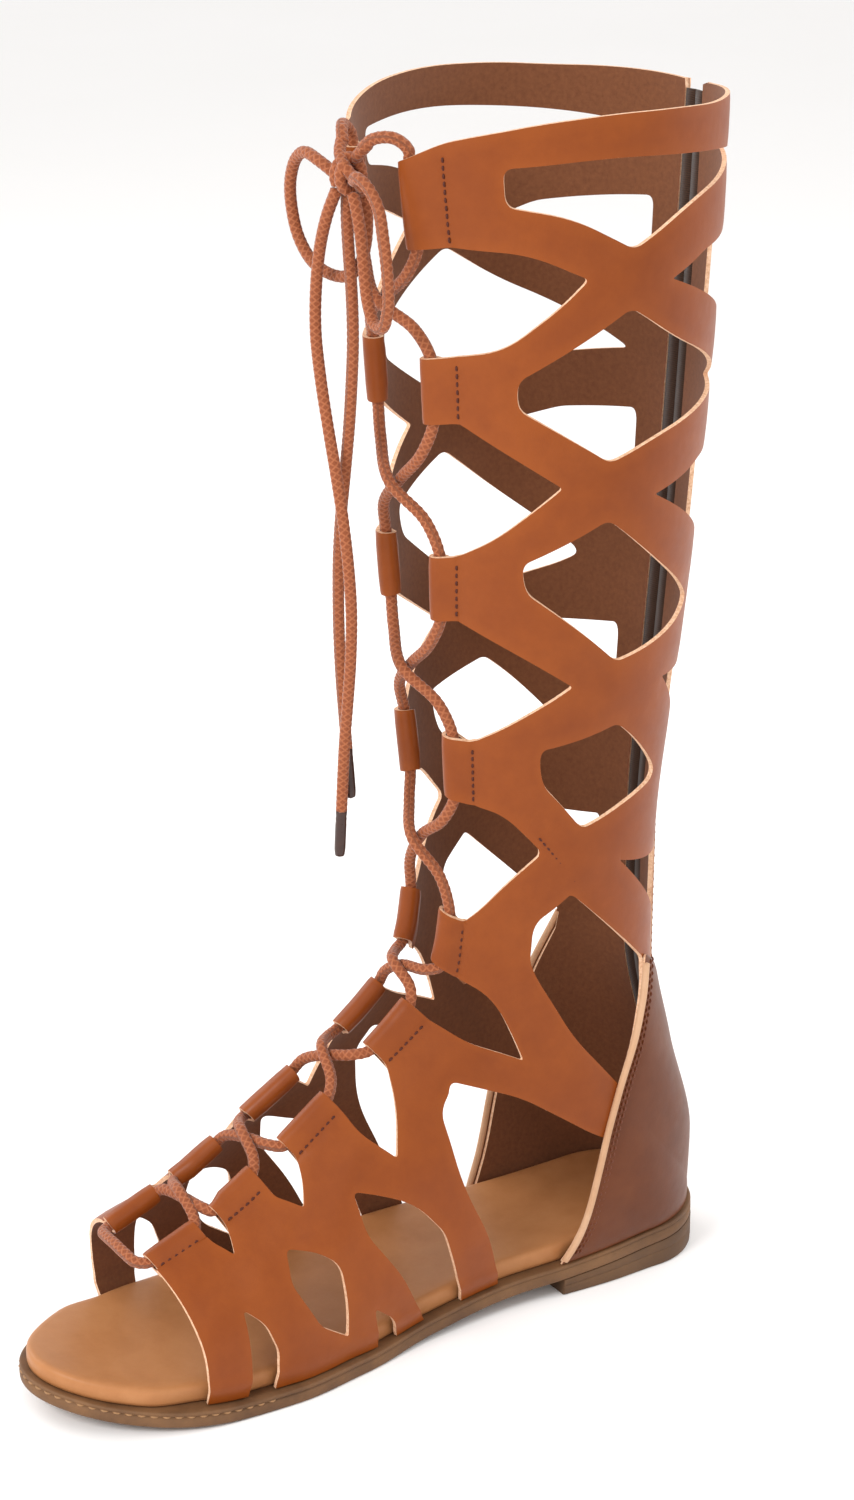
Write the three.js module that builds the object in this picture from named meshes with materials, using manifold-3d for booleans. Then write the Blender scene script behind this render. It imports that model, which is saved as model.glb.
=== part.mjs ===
// Knee-high gladiator sandal, right foot.
// Millimetres, +Z up, toe towards -Y, medial side +X, origin on the floor under the heel.
//
// Every leather piece lies on one surface, the last. A place on it is given by two pattern
// coordinates: "along", the length in mm up the front centre line from the toe, and "turn", the
// angle in degrees round a section, 0 at the front centre line, 90 at the side and 180 at the
// back. The lateral side counts on to 360. A third coordinate, "depth", goes outwards in mm.
import * as THREE from 'three';
import { mergeVertices } from 'three/addons/utils/BufferGeometryUtils.js';
import { TessellateModifier } from 'three/addons/modifiers/TessellateModifier.js';
import Module from 'manifold-3d';

const wasm = await Module();
wasm.setup();

// Driving dimensions
const LENGTH = 270; // outsole, heel to toe
const HEEL_Y = 35; // back of the outsole
const HEEL_ROUND = 28; // depth of the rounded heel end of the plan
const TOE_ROUND = 60; // depth of the rounded toe end of the plan
const OUTSOLE = 6; // outsole thickness
const FOOTBED = 7; // footbed thickness
const HEEL_BREAST = 70; // front face of the heel lift, from the back of the heel
const GAP = 0.3; // clearance between pieces that touch
const SEAM_LIFT = 0.8; // lower edge of the upper, above the outsole
const LEATHER = 1.8; // upper wall
const COUNTER = 1.6; // heel counter overlay
const COUNTER_GAP = 0.8; // room between the curved facets of the counter and the upper
const UPPER_INSET = 4.2; // inner face of the upper, inside the outsole's edge
const FOOTBED_INSET = 5.6; // footbed edge, inside the outsole's edge
const LACE = 4; // lace diameter
const SLOT_HALF = 4.8; // half width of the slot that the zip fills
const ZIP_HALF = 4.3; // half width of the zip tape
const ZIP_FOOT = 209; // bottom of the zip, along
const ZIP_TOP = 441; // top of the zip, along
const KNOT = [0, -104, 410]; // middle of the bow's knot
const KNOT_RADIUS = 5;
const AGLET = 17; // length of a lace's hardened tip
const AGLET_WIDTH = 4.2;
const SLIDER_ALONG = 431; // the closed zip's slider
const LEAST_ROUND = 4.5; // corners rounder than this are drawn round, the others sharp
const MEDIAL = 1;
const LATERAL = -1;
const LAST_WIDTH = 76; // typical full width that a plan inset is shared over
const FACET = 19; // longest edge of a facet of the upper, in pattern units
const HEEL_FACET = 12; // the same for the heel counter, whose surface is more curved

// Smooth curve through rows, without overshoot (monotone cubic)
function curve(xs, ys) {
  const step = xs.slice(1).map((x, i) => x - xs[i]);
  const slope = step.map((h, i) => (ys[i + 1] - ys[i]) / h);
  const tangent = ys.map((_, i) => {
    if (i === 0) return slope[0];
    if (i === ys.length - 1) return slope[i - 1];
    if (slope[i - 1] * slope[i] <= 0) return 0;
    const before = 2 * step[i] + step[i - 1];
    const after = step[i] + 2 * step[i - 1];
    return (before + after) / (before / slope[i - 1] + after / slope[i]);
  });
  return (value) => {
    const x = Math.min(Math.max(value, xs[0]), xs[xs.length - 1]);
    let i = 0;
    while (i < xs.length - 2 && x >= xs[i + 1]) i += 1;
    const h = step[i];
    const t = (x - xs[i]) / h;
    const u = 1 - t;
    return (
      u * u * (1 + 2 * t) * ys[i] + t * u * u * h * tangent[i]
      + t * t * (3 - 2 * t) * ys[i + 1] - t * t * u * h * tangent[i + 1]
    );
  };
}

const column = (rows, index) => rows.map((row) => row[index]);

// Plan of the outsole: [distance from the back of the heel, medial half width, lateral half width]
const plan = [
  [0, 30, 31],
  [28, 30, 31.5],
  [50, 31, 33.5],
  [70, 30.3, 36],
  [90, 29, 38.8],
  [125, 31.5, 44.5],
  [160, 39, 49],
  [188, 43.5, 50.5],
  [213, 43, 49],
  [270, 37, 38],
];
const medialPlan = curve(column(plan, 0), column(plan, 1));
const lateralPlan = curve(column(plan, 0), column(plan, 2));

// Underside of the outsole: [distance from the back of the heel, height]
const profile = [
  [0, 12],
  [35, 9.4],
  [70, 6.6],
  [100, 5],
  [130, 2],
  [155, 0],
  [200, 0],
  [225, 1.2],
  [250, 4.5],
  [270, 9],
];
const underside = curve(column(profile, 0), column(profile, 1));
const soleTop = (distance) => underside(distance) + OUTSOLE;

// Half width of the outsole's plan, with its two ends rounded
function halfWidth(distance, side) {
  const d = Math.min(Math.max(distance, 0), LENGTH);
  const width = side > 0 ? medialPlan(d) : lateralPlan(d);
  const heel = Math.max(0, 1 - d / HEEL_ROUND);
  const toe = Math.max(0, 1 - (LENGTH - d) / TOE_ROUND);
  return width * Math.sqrt(1 - heel * heel) * Math.sqrt(1 - toe * toe);
}

// The same plan drawn in by an even margin
function insetWidth(distance, side, inset) {
  const d = (distance - inset) * LENGTH / (LENGTH - 2 * inset);
  return halfWidth(d, side) * (1 - 2 * inset / LAST_WIDTH);
}

// Sections of the last, fanned from toe to collar:
// [name, front y, front z, end y, end z, medial half width, lateral half width]
// A section ends at the sole's edge (end z ON_SOLE) or, above the heel, on the back centre line.
const ON_SOLE = null;
const sections = [
  ['tip', -214, 44, -214, ON_SOLE, 30, 33],
  ['vamp', -197, 53, -194, ON_SOLE, 40, 45],
  ['ball', -172, 65, -163, ON_SOLE, 40, 46],
  ['waist', -144, 83, -123, ON_SOLE, 37, 45],
  ['instep', -118, 102, -82, ON_SOLE, 34, 40],
  ['arch', -96, 119, -45, ON_SOLE, 33, 36],
  ['cuff', -84, 133, -8, ON_SOLE, 33, 34],
  ['ankle', -79.5, 146, 17, ON_SOLE, 33, 33.5],
  ['seat', -78, 154, 30.8, ON_SOLE, 33, 33.5],
  ['heel', -77, 163, 31, 40, 33, 33.5],
  ['tendon', -76.5, 178, 21, 80, 33, 33.5],
  ['gaiter', -76.5, 196, 12.5, 120, 33.5, 34],
  ['low', -78, 218, 12.5, 165, 36, 36.5],
  ['shin', -82, 258, 18, 232, 44, 44.5],
  ['mid', -84.5, 300, 23, 292, 50, 50.5],
  ['calf', -87, 345, 26.5, 350, 54, 54.5],
  ['lace_head', -92, 388, 29, 398, 56, 56],
  ['collar', -95, 414, 30, 426, 56, 56],
  ['above', -97, 440, 31, 452, 56, 56],
];
const along = [0];
for (let i = 1; i < sections.length; i += 1) {
  const [, y0, z0] = sections[i - 1];
  const [, y1, z1] = sections[i];
  along.push(along[i - 1] + Math.hypot(y1 - y0, z1 - z0));
}
const SEAT = sections.findIndex((row) => row[0] === 'seat');
const SEAT_ALONG = along[SEAT];
const seatHeight = soleTop(HEEL_Y - sections[SEAT][3]);
const frontY = curve(along, column(sections, 1));
const frontZ = curve(along, column(sections, 2));
const endY = curve(along, column(sections, 3));
const backZ = curve(
  along.slice(SEAT),
  sections.slice(SEAT).map((row) => row[4] ?? seatHeight + SEAM_LIFT),
);
const medialWidth = curve(along, column(sections, 5));
const lateralWidth = curve(along, column(sections, 6));

// Half width of a section, its half width at the sole, and the turn at which it ends, in radians
function sectionAt(a, side) {
  const onSole = a < SEAT_ALONG;
  const y = endY(a);
  const edge = onSole ? insetWidth(HEEL_Y - y, side, UPPER_INSET) : 0;
  const width = Math.max(side > 0 ? medialWidth(a) : lateralWidth(a), edge);
  const z = onSole ? soleTop(HEEL_Y - y) + SEAM_LIFT : backZ(a);
  return { y, z, width, end: Math.PI - Math.asin(edge / width) };
}

// A point of the last, on the upper's inner face
function lastPoint(a, turn) {
  const side = turn <= 180 ? MEDIAL : LATERAL;
  const angle = THREE.MathUtils.degToRad(side > 0 ? turn : 360 - turn);
  const section = sectionAt(a, side);
  const share = (1 - Math.cos(angle)) / (1 - Math.cos(section.end));
  return new THREE.Vector3(
    side * section.width * Math.sin(angle),
    THREE.MathUtils.lerp(frontY(a), section.y, share),
    THREE.MathUtils.lerp(frontZ(a), section.z, share),
  );
}

// The point that lies "depth" outside the last. Near the sole the direction is kept level.
function place(a, turn, depth) {
  const reach = 0.5;
  const point = lastPoint(a, turn);
  const up = lastPoint(a + reach, turn).sub(lastPoint(a - reach, turn));
  const round = lastPoint(a, turn + reach).sub(lastPoint(a, turn - reach));
  const normal = round.cross(up).normalize();
  const height = point.z - soleTop(HEEL_Y - point.y);
  normal.z *= THREE.MathUtils.clamp((height - 1) / 12, 0, 1);
  return point.addScaledVector(normal.normalize(), depth);
}

// Turn of a line that runs "distance" mm beside the back centre line
function besideBack(a, distance) {
  return 180 - THREE.MathUtils.radToDeg(distance / medialWidth(a));
}

const soleTurn = (a, side) => THREE.MathUtils.radToDeg(sectionAt(a, side).end);

// Solids
function closed(geometry) {
  geometry.deleteAttribute('normal');
  geometry.deleteAttribute('uv');
  const merged = mergeVertices(geometry, 1e-4);
  const position = merged.attributes.position;
  const index = merged.index.array;
  const kept = [];
  const corner = [0, 1, 2].map(() => new THREE.Vector3());
  let volume = 0;
  for (let i = 0; i < index.length; i += 3) {
    const [p, q, r] = index.slice(i, i + 3);
    if (p === q || q === r || r === p) continue;
    kept.push(p, q, r);
    [p, q, r].forEach((vertex, k) => corner[k].fromBufferAttribute(position, vertex));
    volume += corner[0].dot(corner[1].clone().cross(corner[2]));
  }
  merged.setIndex(volume < 0 ? kept.reverse() : kept);
  return merged;
}

// Skin over rings of points that are all equally long, with both ends capped
function loft(rings) {
  const count = rings[0].length;
  const points = rings.flat();
  const index = [];
  for (let r = 0; r + 1 < rings.length; r += 1) {
    for (let i = 0; i < count; i += 1) {
      const j = (i + 1) % count;
      const low = r * count;
      const high = low + count;
      index.push(low + i, low + j, high + j, low + i, high + j, high + i);
    }
  }
  for (const [start, flip] of [[0, true], [(rings.length - 1) * count, false]]) {
    for (let i = 1; i + 1 < count; i += 1) {
      const pair = flip ? [start + i + 1, start + i] : [start + i, start + i + 1];
      index.push(start, ...pair);
    }
  }
  const geometry = new THREE.BufferGeometry().setFromPoints(points);
  geometry.setIndex(index);
  return closed(geometry);
}

const toSolid = (geometry) => new wasm.Manifold(new wasm.Mesh({
  numProp: 3,
  vertProperties: geometry.attributes.position.array,
  triVerts: Uint32Array.from(geometry.index.array),
}));

function fromSolid(solid) {
  const mesh = solid.getMesh();
  const geometry = new THREE.BufferGeometry();
  geometry.setAttribute('position', new THREE.BufferAttribute(mesh.vertProperties, 3));
  geometry.setIndex(new THREE.BufferAttribute(mesh.triVerts, 1));
  return geometry;
}

const join = (geometries) => fromSolid(
  geometries.map(toSolid).reduce((whole, next) => whole.add(next)),
);

// Round cord along a smooth curve through points
function cord(points, diameter, steps, sides = 8) {
  const radius = diameter / 2 / Math.cos(Math.PI / sides / 2);
  const ring = Array.from({ length: sides }, (_, i) => {
    const angle = 2 * Math.PI * i / sides;
    return new THREE.Vector2(radius * Math.cos(angle), radius * Math.sin(angle));
  });
  const extrudePath = new THREE.CatmullRomCurve3(points);
  return closed(new THREE.ExtrudeGeometry(new THREE.Shape(ring), { steps, extrudePath }));
}

// Pattern outlines. A corner is [along, turn, corner radius], sharp where no radius is given.
// The table is the medial pattern; on the lateral side a turn keeps its share of the section.
const TO_SOLE = null;

// Corners on the sole's edge follow it, with points between them
function resolve(corners, side) {
  const out = [];
  corners.forEach(([a, turn, radius = 0], i) => {
    if (turn !== TO_SOLE) {
      out.push([a, turn * soleTurn(a, side) / soleTurn(a, MEDIAL), radius]);
      return;
    }
    out.push([a, soleTurn(a, side), 0]);
    const next = corners[i + 1];
    if (!next || next[1] !== TO_SOLE) return;
    let step = 7;
    for (let b = a + step; b < next[0] - step / 2; b += step) {
      if (b > SEAT_ALONG - 16) step = 2.4;
      out.push([b, soleTurn(b, side), 0]);
    }
  });
  return out;
}

// A closed path with rounded corners, drawn anticlockwise
function trace(path, drawn) {
  const toPoints = (corners) => corners.map(([a, turn]) => new THREE.Vector2(a, turn));
  const corners = THREE.ShapeUtils.isClockWise(toPoints(drawn)) ? [...drawn].reverse() : drawn;
  const points = toPoints(corners);
  const last = points.length;
  points.forEach((point, i) => {
    const before = points[(i + last - 1) % last];
    const after = points[(i + 1) % last];
    const room = Math.min(point.distanceTo(before), point.distanceTo(after)) * 0.45;
    const radius = corners[i][2] < LEAST_ROUND ? 0 : Math.min(corners[i][2], room);
    if (radius === 0) {
      if (i === 0) path.moveTo(point.x, point.y);
      else path.lineTo(point.x, point.y);
      return;
    }
    const enter = point.clone().lerp(before, radius / point.distanceTo(before));
    const leave = point.clone().lerp(after, radius / point.distanceTo(after));
    if (i === 0) path.moveTo(enter.x, enter.y);
    else path.lineTo(enter.x, enter.y);
    path.quadraticCurveTo(point.x, point.y, leave.x, leave.y);
  });
  path.closePath();
  return path;
}

const opposite = (corners) => corners.map(([a, turn, radius]) => [a, 360 - turn, radius]).reverse();

// Facets are shorter where the sections fan out round the heel: [along, stretched along]
const spread = [
  [0, 0],
  [140, 80],
  [225, 220],
  [470, 360],
];

// Straight-line reading of a table, from one column to another
function read(rows, from, to, value) {
  let i = 0;
  while (i < rows.length - 2 && value > rows[i + 1][from]) i += 1;
  const share = (value - rows[i][from]) / (rows[i + 1][from] - rows[i][from]);
  return THREE.MathUtils.lerp(rows[i][to], rows[i + 1][to], share);
}

function remap(geometry, from, to) {
  const position = geometry.attributes.position;
  for (let i = 0; i < position.count; i += 1) {
    position.setX(i, read(spread, from, to, position.getX(i)));
  }
}

// A flat pattern, cut out, made "thickness" thick and wrapped on the last
function wrap(outline, holes, depth, thickness, facet) {
  const shape = trace(new THREE.Shape(), outline);
  shape.holes = holes.map((hole) => trace(new THREE.Path(), hole));
  const options = { depth: thickness, bevelEnabled: false, curveSegments: 1 };
  const flat = new THREE.ExtrudeGeometry(shape, options);
  flat.deleteAttribute('normal');
  flat.deleteAttribute('uv');
  remap(flat, 0, 1);
  const fine = new TessellateModifier(facet, 12).modify(flat);
  remap(fine, 1, 0);
  const position = fine.attributes.position;
  for (let i = 0; i < position.count; i += 1) {
    const at = place(position.getX(i), position.getY(i), depth + position.getZ(i));
    position.setXYZ(i, at.x, at.y, at.z);
  }
  return closed(fine);
}

// Front edge of the heel counter, seen from the side: [height, y]
const counterFront = [
  [13, -36.5],
  [28, -30.5],
  [51, -25],
  [64, -22],
  [81, -17],
  [99, -10.5],
  [115, -5],
  [126, -2],
];
const counterY = curve(column(counterFront, 0), column(counterFront, 1));

// Pattern corner at a given height on the counter's front edge
function onCounterFront(z) {
  const y = counterY(z);
  let low = 0;
  let high = along[along.length - 1];
  for (let i = 0; i < 40; i += 1) {
    const a = (low + high) / 2;
    const { y: backY, z: backZAt } = sectionAt(a, MEDIAL);
    const beyond = (backY - frontY(a)) * (z - frontZ(a)) - (backZAt - frontZ(a)) * (y - frontY(a));
    if (beyond > 0) low = a;
    else high = a;
  }
  const section = sectionAt(low, MEDIAL);
  const share = (frontZ(low) - z) / (frontZ(low) - section.z);
  return [low, THREE.MathUtils.radToDeg(Math.acos(1 - share * (1 - Math.cos(section.end))))];
}

// Lace tabs: [low, high, turn of the fold, turn of the seam], from the collar down
const tabs = [
  [415, 443, 15, 31],
  [357, 379, 16, 30],
  [290, 312, 17, 29],
  [227, 249, 20, 36],
  [166, 185, 17, 30],
  [127, 148, 13, 29],
  [83, 105, 15, 29],
  [50, 69, 14, 28],
  [22, 42, 16, 27],
];

// Between two tabs the front edge runs back to a notch. The corners go down from tab to tab.
const notches = [
  [[414, 55, 8], [404, 73, 1], [396, 64, 6], [383, 46, 10]],
  [[349, 48, 3], [339, 66, 1], [321, 43, 8]],
  [[284, 56, 3], [278, 76, 1], [258, 48, 8]],
  [[231, 50, 3], [227, 67, 1], [210, 51, 6]],
  [[172, 45, 6], [165, 61, 1], [154, 44, 6]],
  [[123, 44, 5], [114, 59, 1], [107, 42, 5]],
  [[82, 38, 3], [78, 46, 1], [71, 34, 3]],
  [[50.5, 35, 3], [49, 42, 1], [44.5, 32, 3]],
];

// Openings inside the medial panel
const openings = [
  ['collar window', [[441, 49], [429, 49], [424, 68], [411, 88], [421, 111], [427, 160], [433, 127],
    [441, 80]]],
  ['upper diamond', [[373, 50], [364, 50], [346, 82], [352, 100], [356, 124], [359, 156],
    [380, 106], [393, 87]]],
  ['middle diamond', [[314, 53], [305, 55], [287, 93], [298, 130], [302, 140], [316, 106],
    [329, 83]]],
  ['lower diamond', [[256, 65], [246, 67], [239, 86], [251, 110], [259, 133], [267, 109],
    [270, 98]]],
  ['upper back', [[399, 103, 1], [372, 163], [406, 163], [404, 120]]],
  ['middle back', [[335, 102, 1], [313, 161], [343, 161], [341, 130]]],
  ['lower back', [[283, 122, 1], [268, 159], [287, 159]]],
  ['ankle back', [[236, 108, 1], [229, 155], [243, 155]]],
  ['ankle window', [[221, 82], [204, 62, 12], [190, 58, 8], [183, 77, 6],
    ...[81, 90, 99, 108, 117].map(onCounterFront), [218, 130]]],
  ['ball window', [[66, 52], [63, 64], [68, 85], [76, 98, 1], [79, 86, 5], [81, 72, 5],
    [75, 62, 4]]],
];

// Sole edge of the medial panel from the vamp to the heel seat, strap by strap
const soleEdge = [
  [23, 27, 4], [25, 50, 12], [27, 78, 8],
  [27, TO_SOLE], [40, TO_SOLE], // vamp strap
  [42, 92], [44, 64], [50, 74, 4], [52, 87],
  [49, TO_SOLE], [85, TO_SOLE], // ball strap
  [87, 97], [92, 108],
  [92, TO_SOLE], [102, TO_SOLE], // waist strap
  [99, 96, 6], [93, 72, 5], [95, 56], [112, 76, 8], [117, 92],
  [115, TO_SOLE], [128, TO_SOLE], // arch strap
  [130, 103, 6], [129, 81, 10], [135, 55, 5], [143, 50, 4], [157, 67, 8],
  ...[62, 51, 40, 30, 21].map(onCounterFront),
  [145, TO_SOLE], [SEAT_ALONG, TO_SOLE], // heel wall
];

const counterEdge = [
  [145, TO_SOLE],
  ...[21, 30, 40, 51, 62, 71, 81, 90, 99, 108, 117].map(onCounterFront),
  [219, 131],
];

const collarEdge = [
  [452, 34, 3], [454, 61, 12], [454, 82, 12], [451, 106, 12], [448, 124, 12], [446, 150, 12],
];

const zipSlot = (low, high, half) => [[high, besideBack(high, half)], [low, besideBack(low, half)]];

function tabCorners([low, high, fold, seam], top) {
  return [[top ?? high + 1.5, seam, 3], [high, fold, 1], [low, fold, 1], [low + 1.5, seam, 3]];
}

function frontEdge() {
  const corners = [];
  tabs.forEach((tab, i) => {
    corners.push(...tabCorners(tab, i === 0 ? 451 : undefined));
    if (i < notches.length) corners.push(...notches[i]);
  });
  return corners;
}

function upper() {
  const slot = zipSlot(ZIP_FOOT - 1.5, 444, SLOT_HALF);
  const top = [...slot].reverse();
  const front = [...top, ...[...collarEdge].reverse(), ...frontEdge(), ...soleEdge];
  const medial = resolve(front, MEDIAL);
  const lateral = opposite(resolve(front, LATERAL)).slice(1);
  const holes = openings.flatMap(([, corners]) => [
    resolve(corners, MEDIAL),
    opposite(resolve(corners, LATERAL)),
  ]);
  return wrap([...medial, ...lateral], holes, 0, LEATHER, FACET);
}

function heelCounter() {
  const edge = [...counterEdge].reverse();
  const slot = zipSlot(ZIP_FOOT - 1.5, 219, SLOT_HALF);
  const front = [...slot.reverse(), ...edge, [SEAT_ALONG, TO_SOLE]];
  const medial = resolve(front, MEDIAL);
  const lateral = opposite(resolve(front, LATERAL)).slice(1);
  return wrap([...medial, ...lateral], [], LEATHER + COUNTER_GAP, COUNTER, HEEL_FACET);
}

// Stations along the sole, closer together towards both ends
function stations(from, to, count) {
  return Array.from({ length: count + 1 }, (_, i) => {
    const share = (1 - Math.cos(Math.PI * i / count)) / 2;
    return THREE.MathUtils.lerp(from, to, share);
  });
}

// A slab that follows the sole. Its section has rounded edges.
function slab(from, to, count, widthAt, lowAt, highAt, edge) {
  return loft(stations(from, to, count).map((d) => {
    const y = HEEL_Y - d;
    const low = lowAt(d);
    const high = highAt(d);
    const side = (sign) => {
      const w = Math.max(widthAt(d, sign), 0.4);
      const r = Math.min(edge, w / 2);
      return [
        new THREE.Vector3(sign * (w - r / 2), y, low),
        new THREE.Vector3(sign * w, y, low + edge / 2),
        new THREE.Vector3(sign * w, y, high - edge),
        new THREE.Vector3(sign * (w - r * 0.3), y, high - edge * 0.3),
        new THREE.Vector3(sign * (w - r), y, high),
      ];
    };
    return [...side(MEDIAL), ...side(LATERAL).reverse()];
  }));
}

function outsole() {
  return slab(0, LENGTH, 34, (d, side) => halfWidth(d, side), underside, soleTop, 1);
}

function footbed() {
  const width = (d, side) => insetWidth(d, side, FOOTBED_INSET);
  const low = (d) => soleTop(d) + GAP;
  const high = (d) => soleTop(d) + FOOTBED;
  return slab(FOOTBED_INSET, LENGTH - FOOTBED_INSET, 32, width, low, high, 3);
}

function heelLift() {
  const width = (d, side) => halfWidth(d + 0.8, side) - 0.6;
  return slab(0.8, HEEL_BREAST, 14, width, () => 0, (d) => underside(d) - GAP, 0.6);
}

// The zip: a flat tape with a raised row of teeth, bent along the back
function zipTape() {
  const section = [
    [-ZIP_HALF, 0.3], [-ZIP_HALF, 1.4], [-1.8, 1.4], [-1.8, 2.4],
    [1.8, 2.4], [1.8, 1.4], [ZIP_HALF, 1.4], [ZIP_HALF, 0.3],
  ];
  const count = 20;
  return loft(Array.from({ length: count + 1 }, (_, i) => {
    const a = THREE.MathUtils.lerp(ZIP_FOOT, ZIP_TOP, i / count);
    return section.map(([offset, depth]) => {
      const turn = offset < 0 ? 360 - besideBack(a, -offset) : besideBack(a, offset);
      return place(a, turn, depth);
    });
  }));
}

// Where a lace passes at a tab: the middle of its fold, or beside it where the tabs are close
const laceTurn = (tab, gap) => tab[2] + (gap > 3 * LACE ? 4 : -5);

// A strand between a tab's top and the bottom of the next tab on the other side
function strand(lower, higher, side, over) {
  const gap = higher[0] - lower[1];
  const from = laceTurn(lower, gap);
  const to = laceTurn(higher, gap);
  const clear = LACE * 0.55;
  const signed = (turn) => (turn * side < 0 ? 360 - Math.abs(turn) : Math.abs(turn));
  const points = [
    [lower[1] + clear, from, 1],
    [lower[1] + gap * 0.25, from * 0.85, 1.6],
    [lower[1] + gap * 0.5, 0, over ? 4.2 : 0.8],
    [higher[0] - gap * 0.25, -to * 0.85, 1.6],
    [higher[0] - clear, -to, 1],
  ];
  return cord(points.map(([a, turn, depth]) => place(a, signed(turn), depth)), LACE, 7);
}

function crossing(higher, lower) {
  return join([strand(lower, higher, MEDIAL, true), strand(lower, higher, LATERAL, false)]);
}

// The bar that starts the lacing, below the lowest pair of tabs
function bar() {
  const [low, , fold] = tabs[tabs.length - 1];
  const points = [[low - 0.6 - LACE / 2, fold + 3, 1], [low - 4, fold * 0.6, 2.4], [low - 4.4, 0, 3]];
  const medial = points.map(([a, turn, depth]) => place(a, turn, depth));
  const lateral = points.slice(0, 2).reverse().map(([a, turn, depth]) => place(a, 360 - turn, depth));
  return cord([...medial, ...lateral], LACE, 10);
}

// The knot with the two strands that come up out of the top tabs
function knot() {
  const ball = new THREE.SphereGeometry(KNOT_RADIUS, 10, 8).translate(...KNOT);
  const [x, y, z] = KNOT;
  const strands = [MEDIAL, LATERAL].map((side) => cord([
    new THREE.Vector3(side * 18, -93.5, 418.8),
    new THREE.Vector3(side * 16.5, -96.5, 423),
    new THREE.Vector3(side * 10, -101, 422),
    new THREE.Vector3(x + side * 2, y, z + 2),
  ], LACE, 6));
  return join([closed(ball), ...strands]);
}

// Free cords, as points that run from the knot
const freeCords = {
  bow_loop_lateral: [
    [-5.8, -106, 409.5], [-12, -108.5, 413], [-20, -109, 414.5], [-27, -108.5, 411],
    [-31.5, -108, 403], [-32.5, -107, 394], [-30, -106, 385], [-24, -104.5, 378],
    [-16, -102.5, 375], [-8, -100.5, 375.5], [-2, -99.5, 380], [1.5, -99.2, 388],
    [2.6, -99.3, 396], [2.2, -99.6, 403.8],
  ],
  bow_loop_medial: [
    [5.8, -106, 409], [11, -108, 411], [16.5, -107.5, 409], [20.5, -106, 403],
    [23, -105.5, 393], [24.5, -105, 382], [24, -104.5, 372], [20, -104, 364.5],
    [14, -103.5, 364], [10, -103.5, 370], [8.5, -104, 380], [7.5, -104.5, 391],
    [5.5, -105, 400], [3.4, -105, 404.4],
  ],
  lace_end_long: [
    [-1.8, -108, 405], [-5, -109.5, 397], [-9, -110, 386], [-12, -110, 372],
    [-12.5, -110, 357], [-10.5, -109.5, 342], [-7, -109, 327], [-3, -108.5, 312],
    [0.5, -108, 297], [3, -107.5, 281], [3.8, -107, 265], [3, -107, 249],
    [0.8, -107, 233], [-1.5, -107, 218], [-3, -107, 204], [-4, -107, 193],
  ],
  lace_end_short: [
    [-2.7, -103.6, 403.8], [-3, -103.5, 396], [-2, -103.5, 385], [-0.8, -103.2, 371],
    [-0.6, -103, 356], [-1.8, -103, 341], [-4, -102.8, 326], [-7, -102.6, 311],
    [-10.2, -102.4, 296], [-12.5, -102.2, 281], [-13.4, -102, 266], [-13, -102, 250],
    [-11.8, -102, 236], [-10, -102, 223], [-8.6, -102, 213],
  ],
};
const vectors = (points) => points.map((point) => new THREE.Vector3(...point));

// Hardened tip that carries on from a lace end
function aglet(points) {
  const [before, end] = vectors(points.slice(-2));
  const way = end.clone().sub(before).normalize();
  const from = end.clone().addScaledVector(way, GAP);
  return cord([from, from.clone().addScaledVector(way, AGLET)], AGLET_WIDTH, 2);
}

// Flat plate drawn in X and Z and made thick towards +Y
function plate(corners, y, thickness, hole) {
  const shape = new THREE.Shape(corners.map(([x, z]) => new THREE.Vector2(x, -z)));
  if (hole) shape.holes.push(new THREE.Path().absarc(0, -hole[0], hole[1], 0, 2 * Math.PI));
  const options = { depth: thickness, bevelEnabled: false, curveSegments: 10 };
  return closed(new THREE.ExtrudeGeometry(shape, options).rotateX(-Math.PI / 2).translate(0, y, 0));
}

const upright = ([x0, x1], [z0, z1]) => [[x0, z0], [x1, z0], [x1, z1], [x0, z1]];

// Where the pull tab hangs on the slider
const pivot = place(SLIDER_ALONG, 180, 7.6);

function zipSlider() {
  const { y, z } = pivot;
  const face = y - 1.5;
  const outline = [[-3, -6], [3, -6], [4.6, 2], [4.2, 4], [1.4, 5], [-1.4, 5], [-4.2, 4], [-4.6, 2]];
  const body = plate(outline.map(([x, up]) => [x, z + up]), y - 4.6, 3.1);
  const ears = [[-3.6, -2.5], [2.5, 3.6]].map(
    (span) => plate(upright(span, [z - 1.4, z + 1.4]), face - 0.2, 3),
  );
  return join([body, ...ears]);
}

function zipPull() {
  const { y, z } = pivot;
  const barrel = new THREE.CylinderGeometry(1.2, 1.2, 4.4, 12).rotateZ(Math.PI / 2);
  const outline = [[-1.8, 0], [1.8, 0], [1.8, -3], [3.1, -5], [3.1, -20], [1.8, -22], [-1.8, -22],
    [-3.1, -20], [-3.1, -5], [-1.8, -3]];
  const tab = plate(outline.map(([x, up]) => [x, z + up]), y - 0.6, 1.2, [z - 17, 1.6]);
  return join([closed(barrel.translate(0, y, z)), tab]);
}

const leather = (color, roughness) => new THREE.MeshStandardMaterial({ color, roughness });
const looks = {
  outsole: leather(0x6e4a2e, 0.7),
  heel_lift: leather(0x5f4128, 0.7),
  footbed: leather(0xc88c4b, 0.5),
  upper: leather(0xa55f2d, 0.4),
  heel_counter: leather(0xa05a2c, 0.4),
  zip_tape: leather(0x2a1d17, 0.8),
  lace: leather(0xbe6e46, 0.8),
  aglet: leather(0x3a2418, 0.4),
  metal: new THREE.MeshStandardMaterial({ color: 0x8f7a55, roughness: 0.35, metalness: 0.9 }),
};

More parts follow.
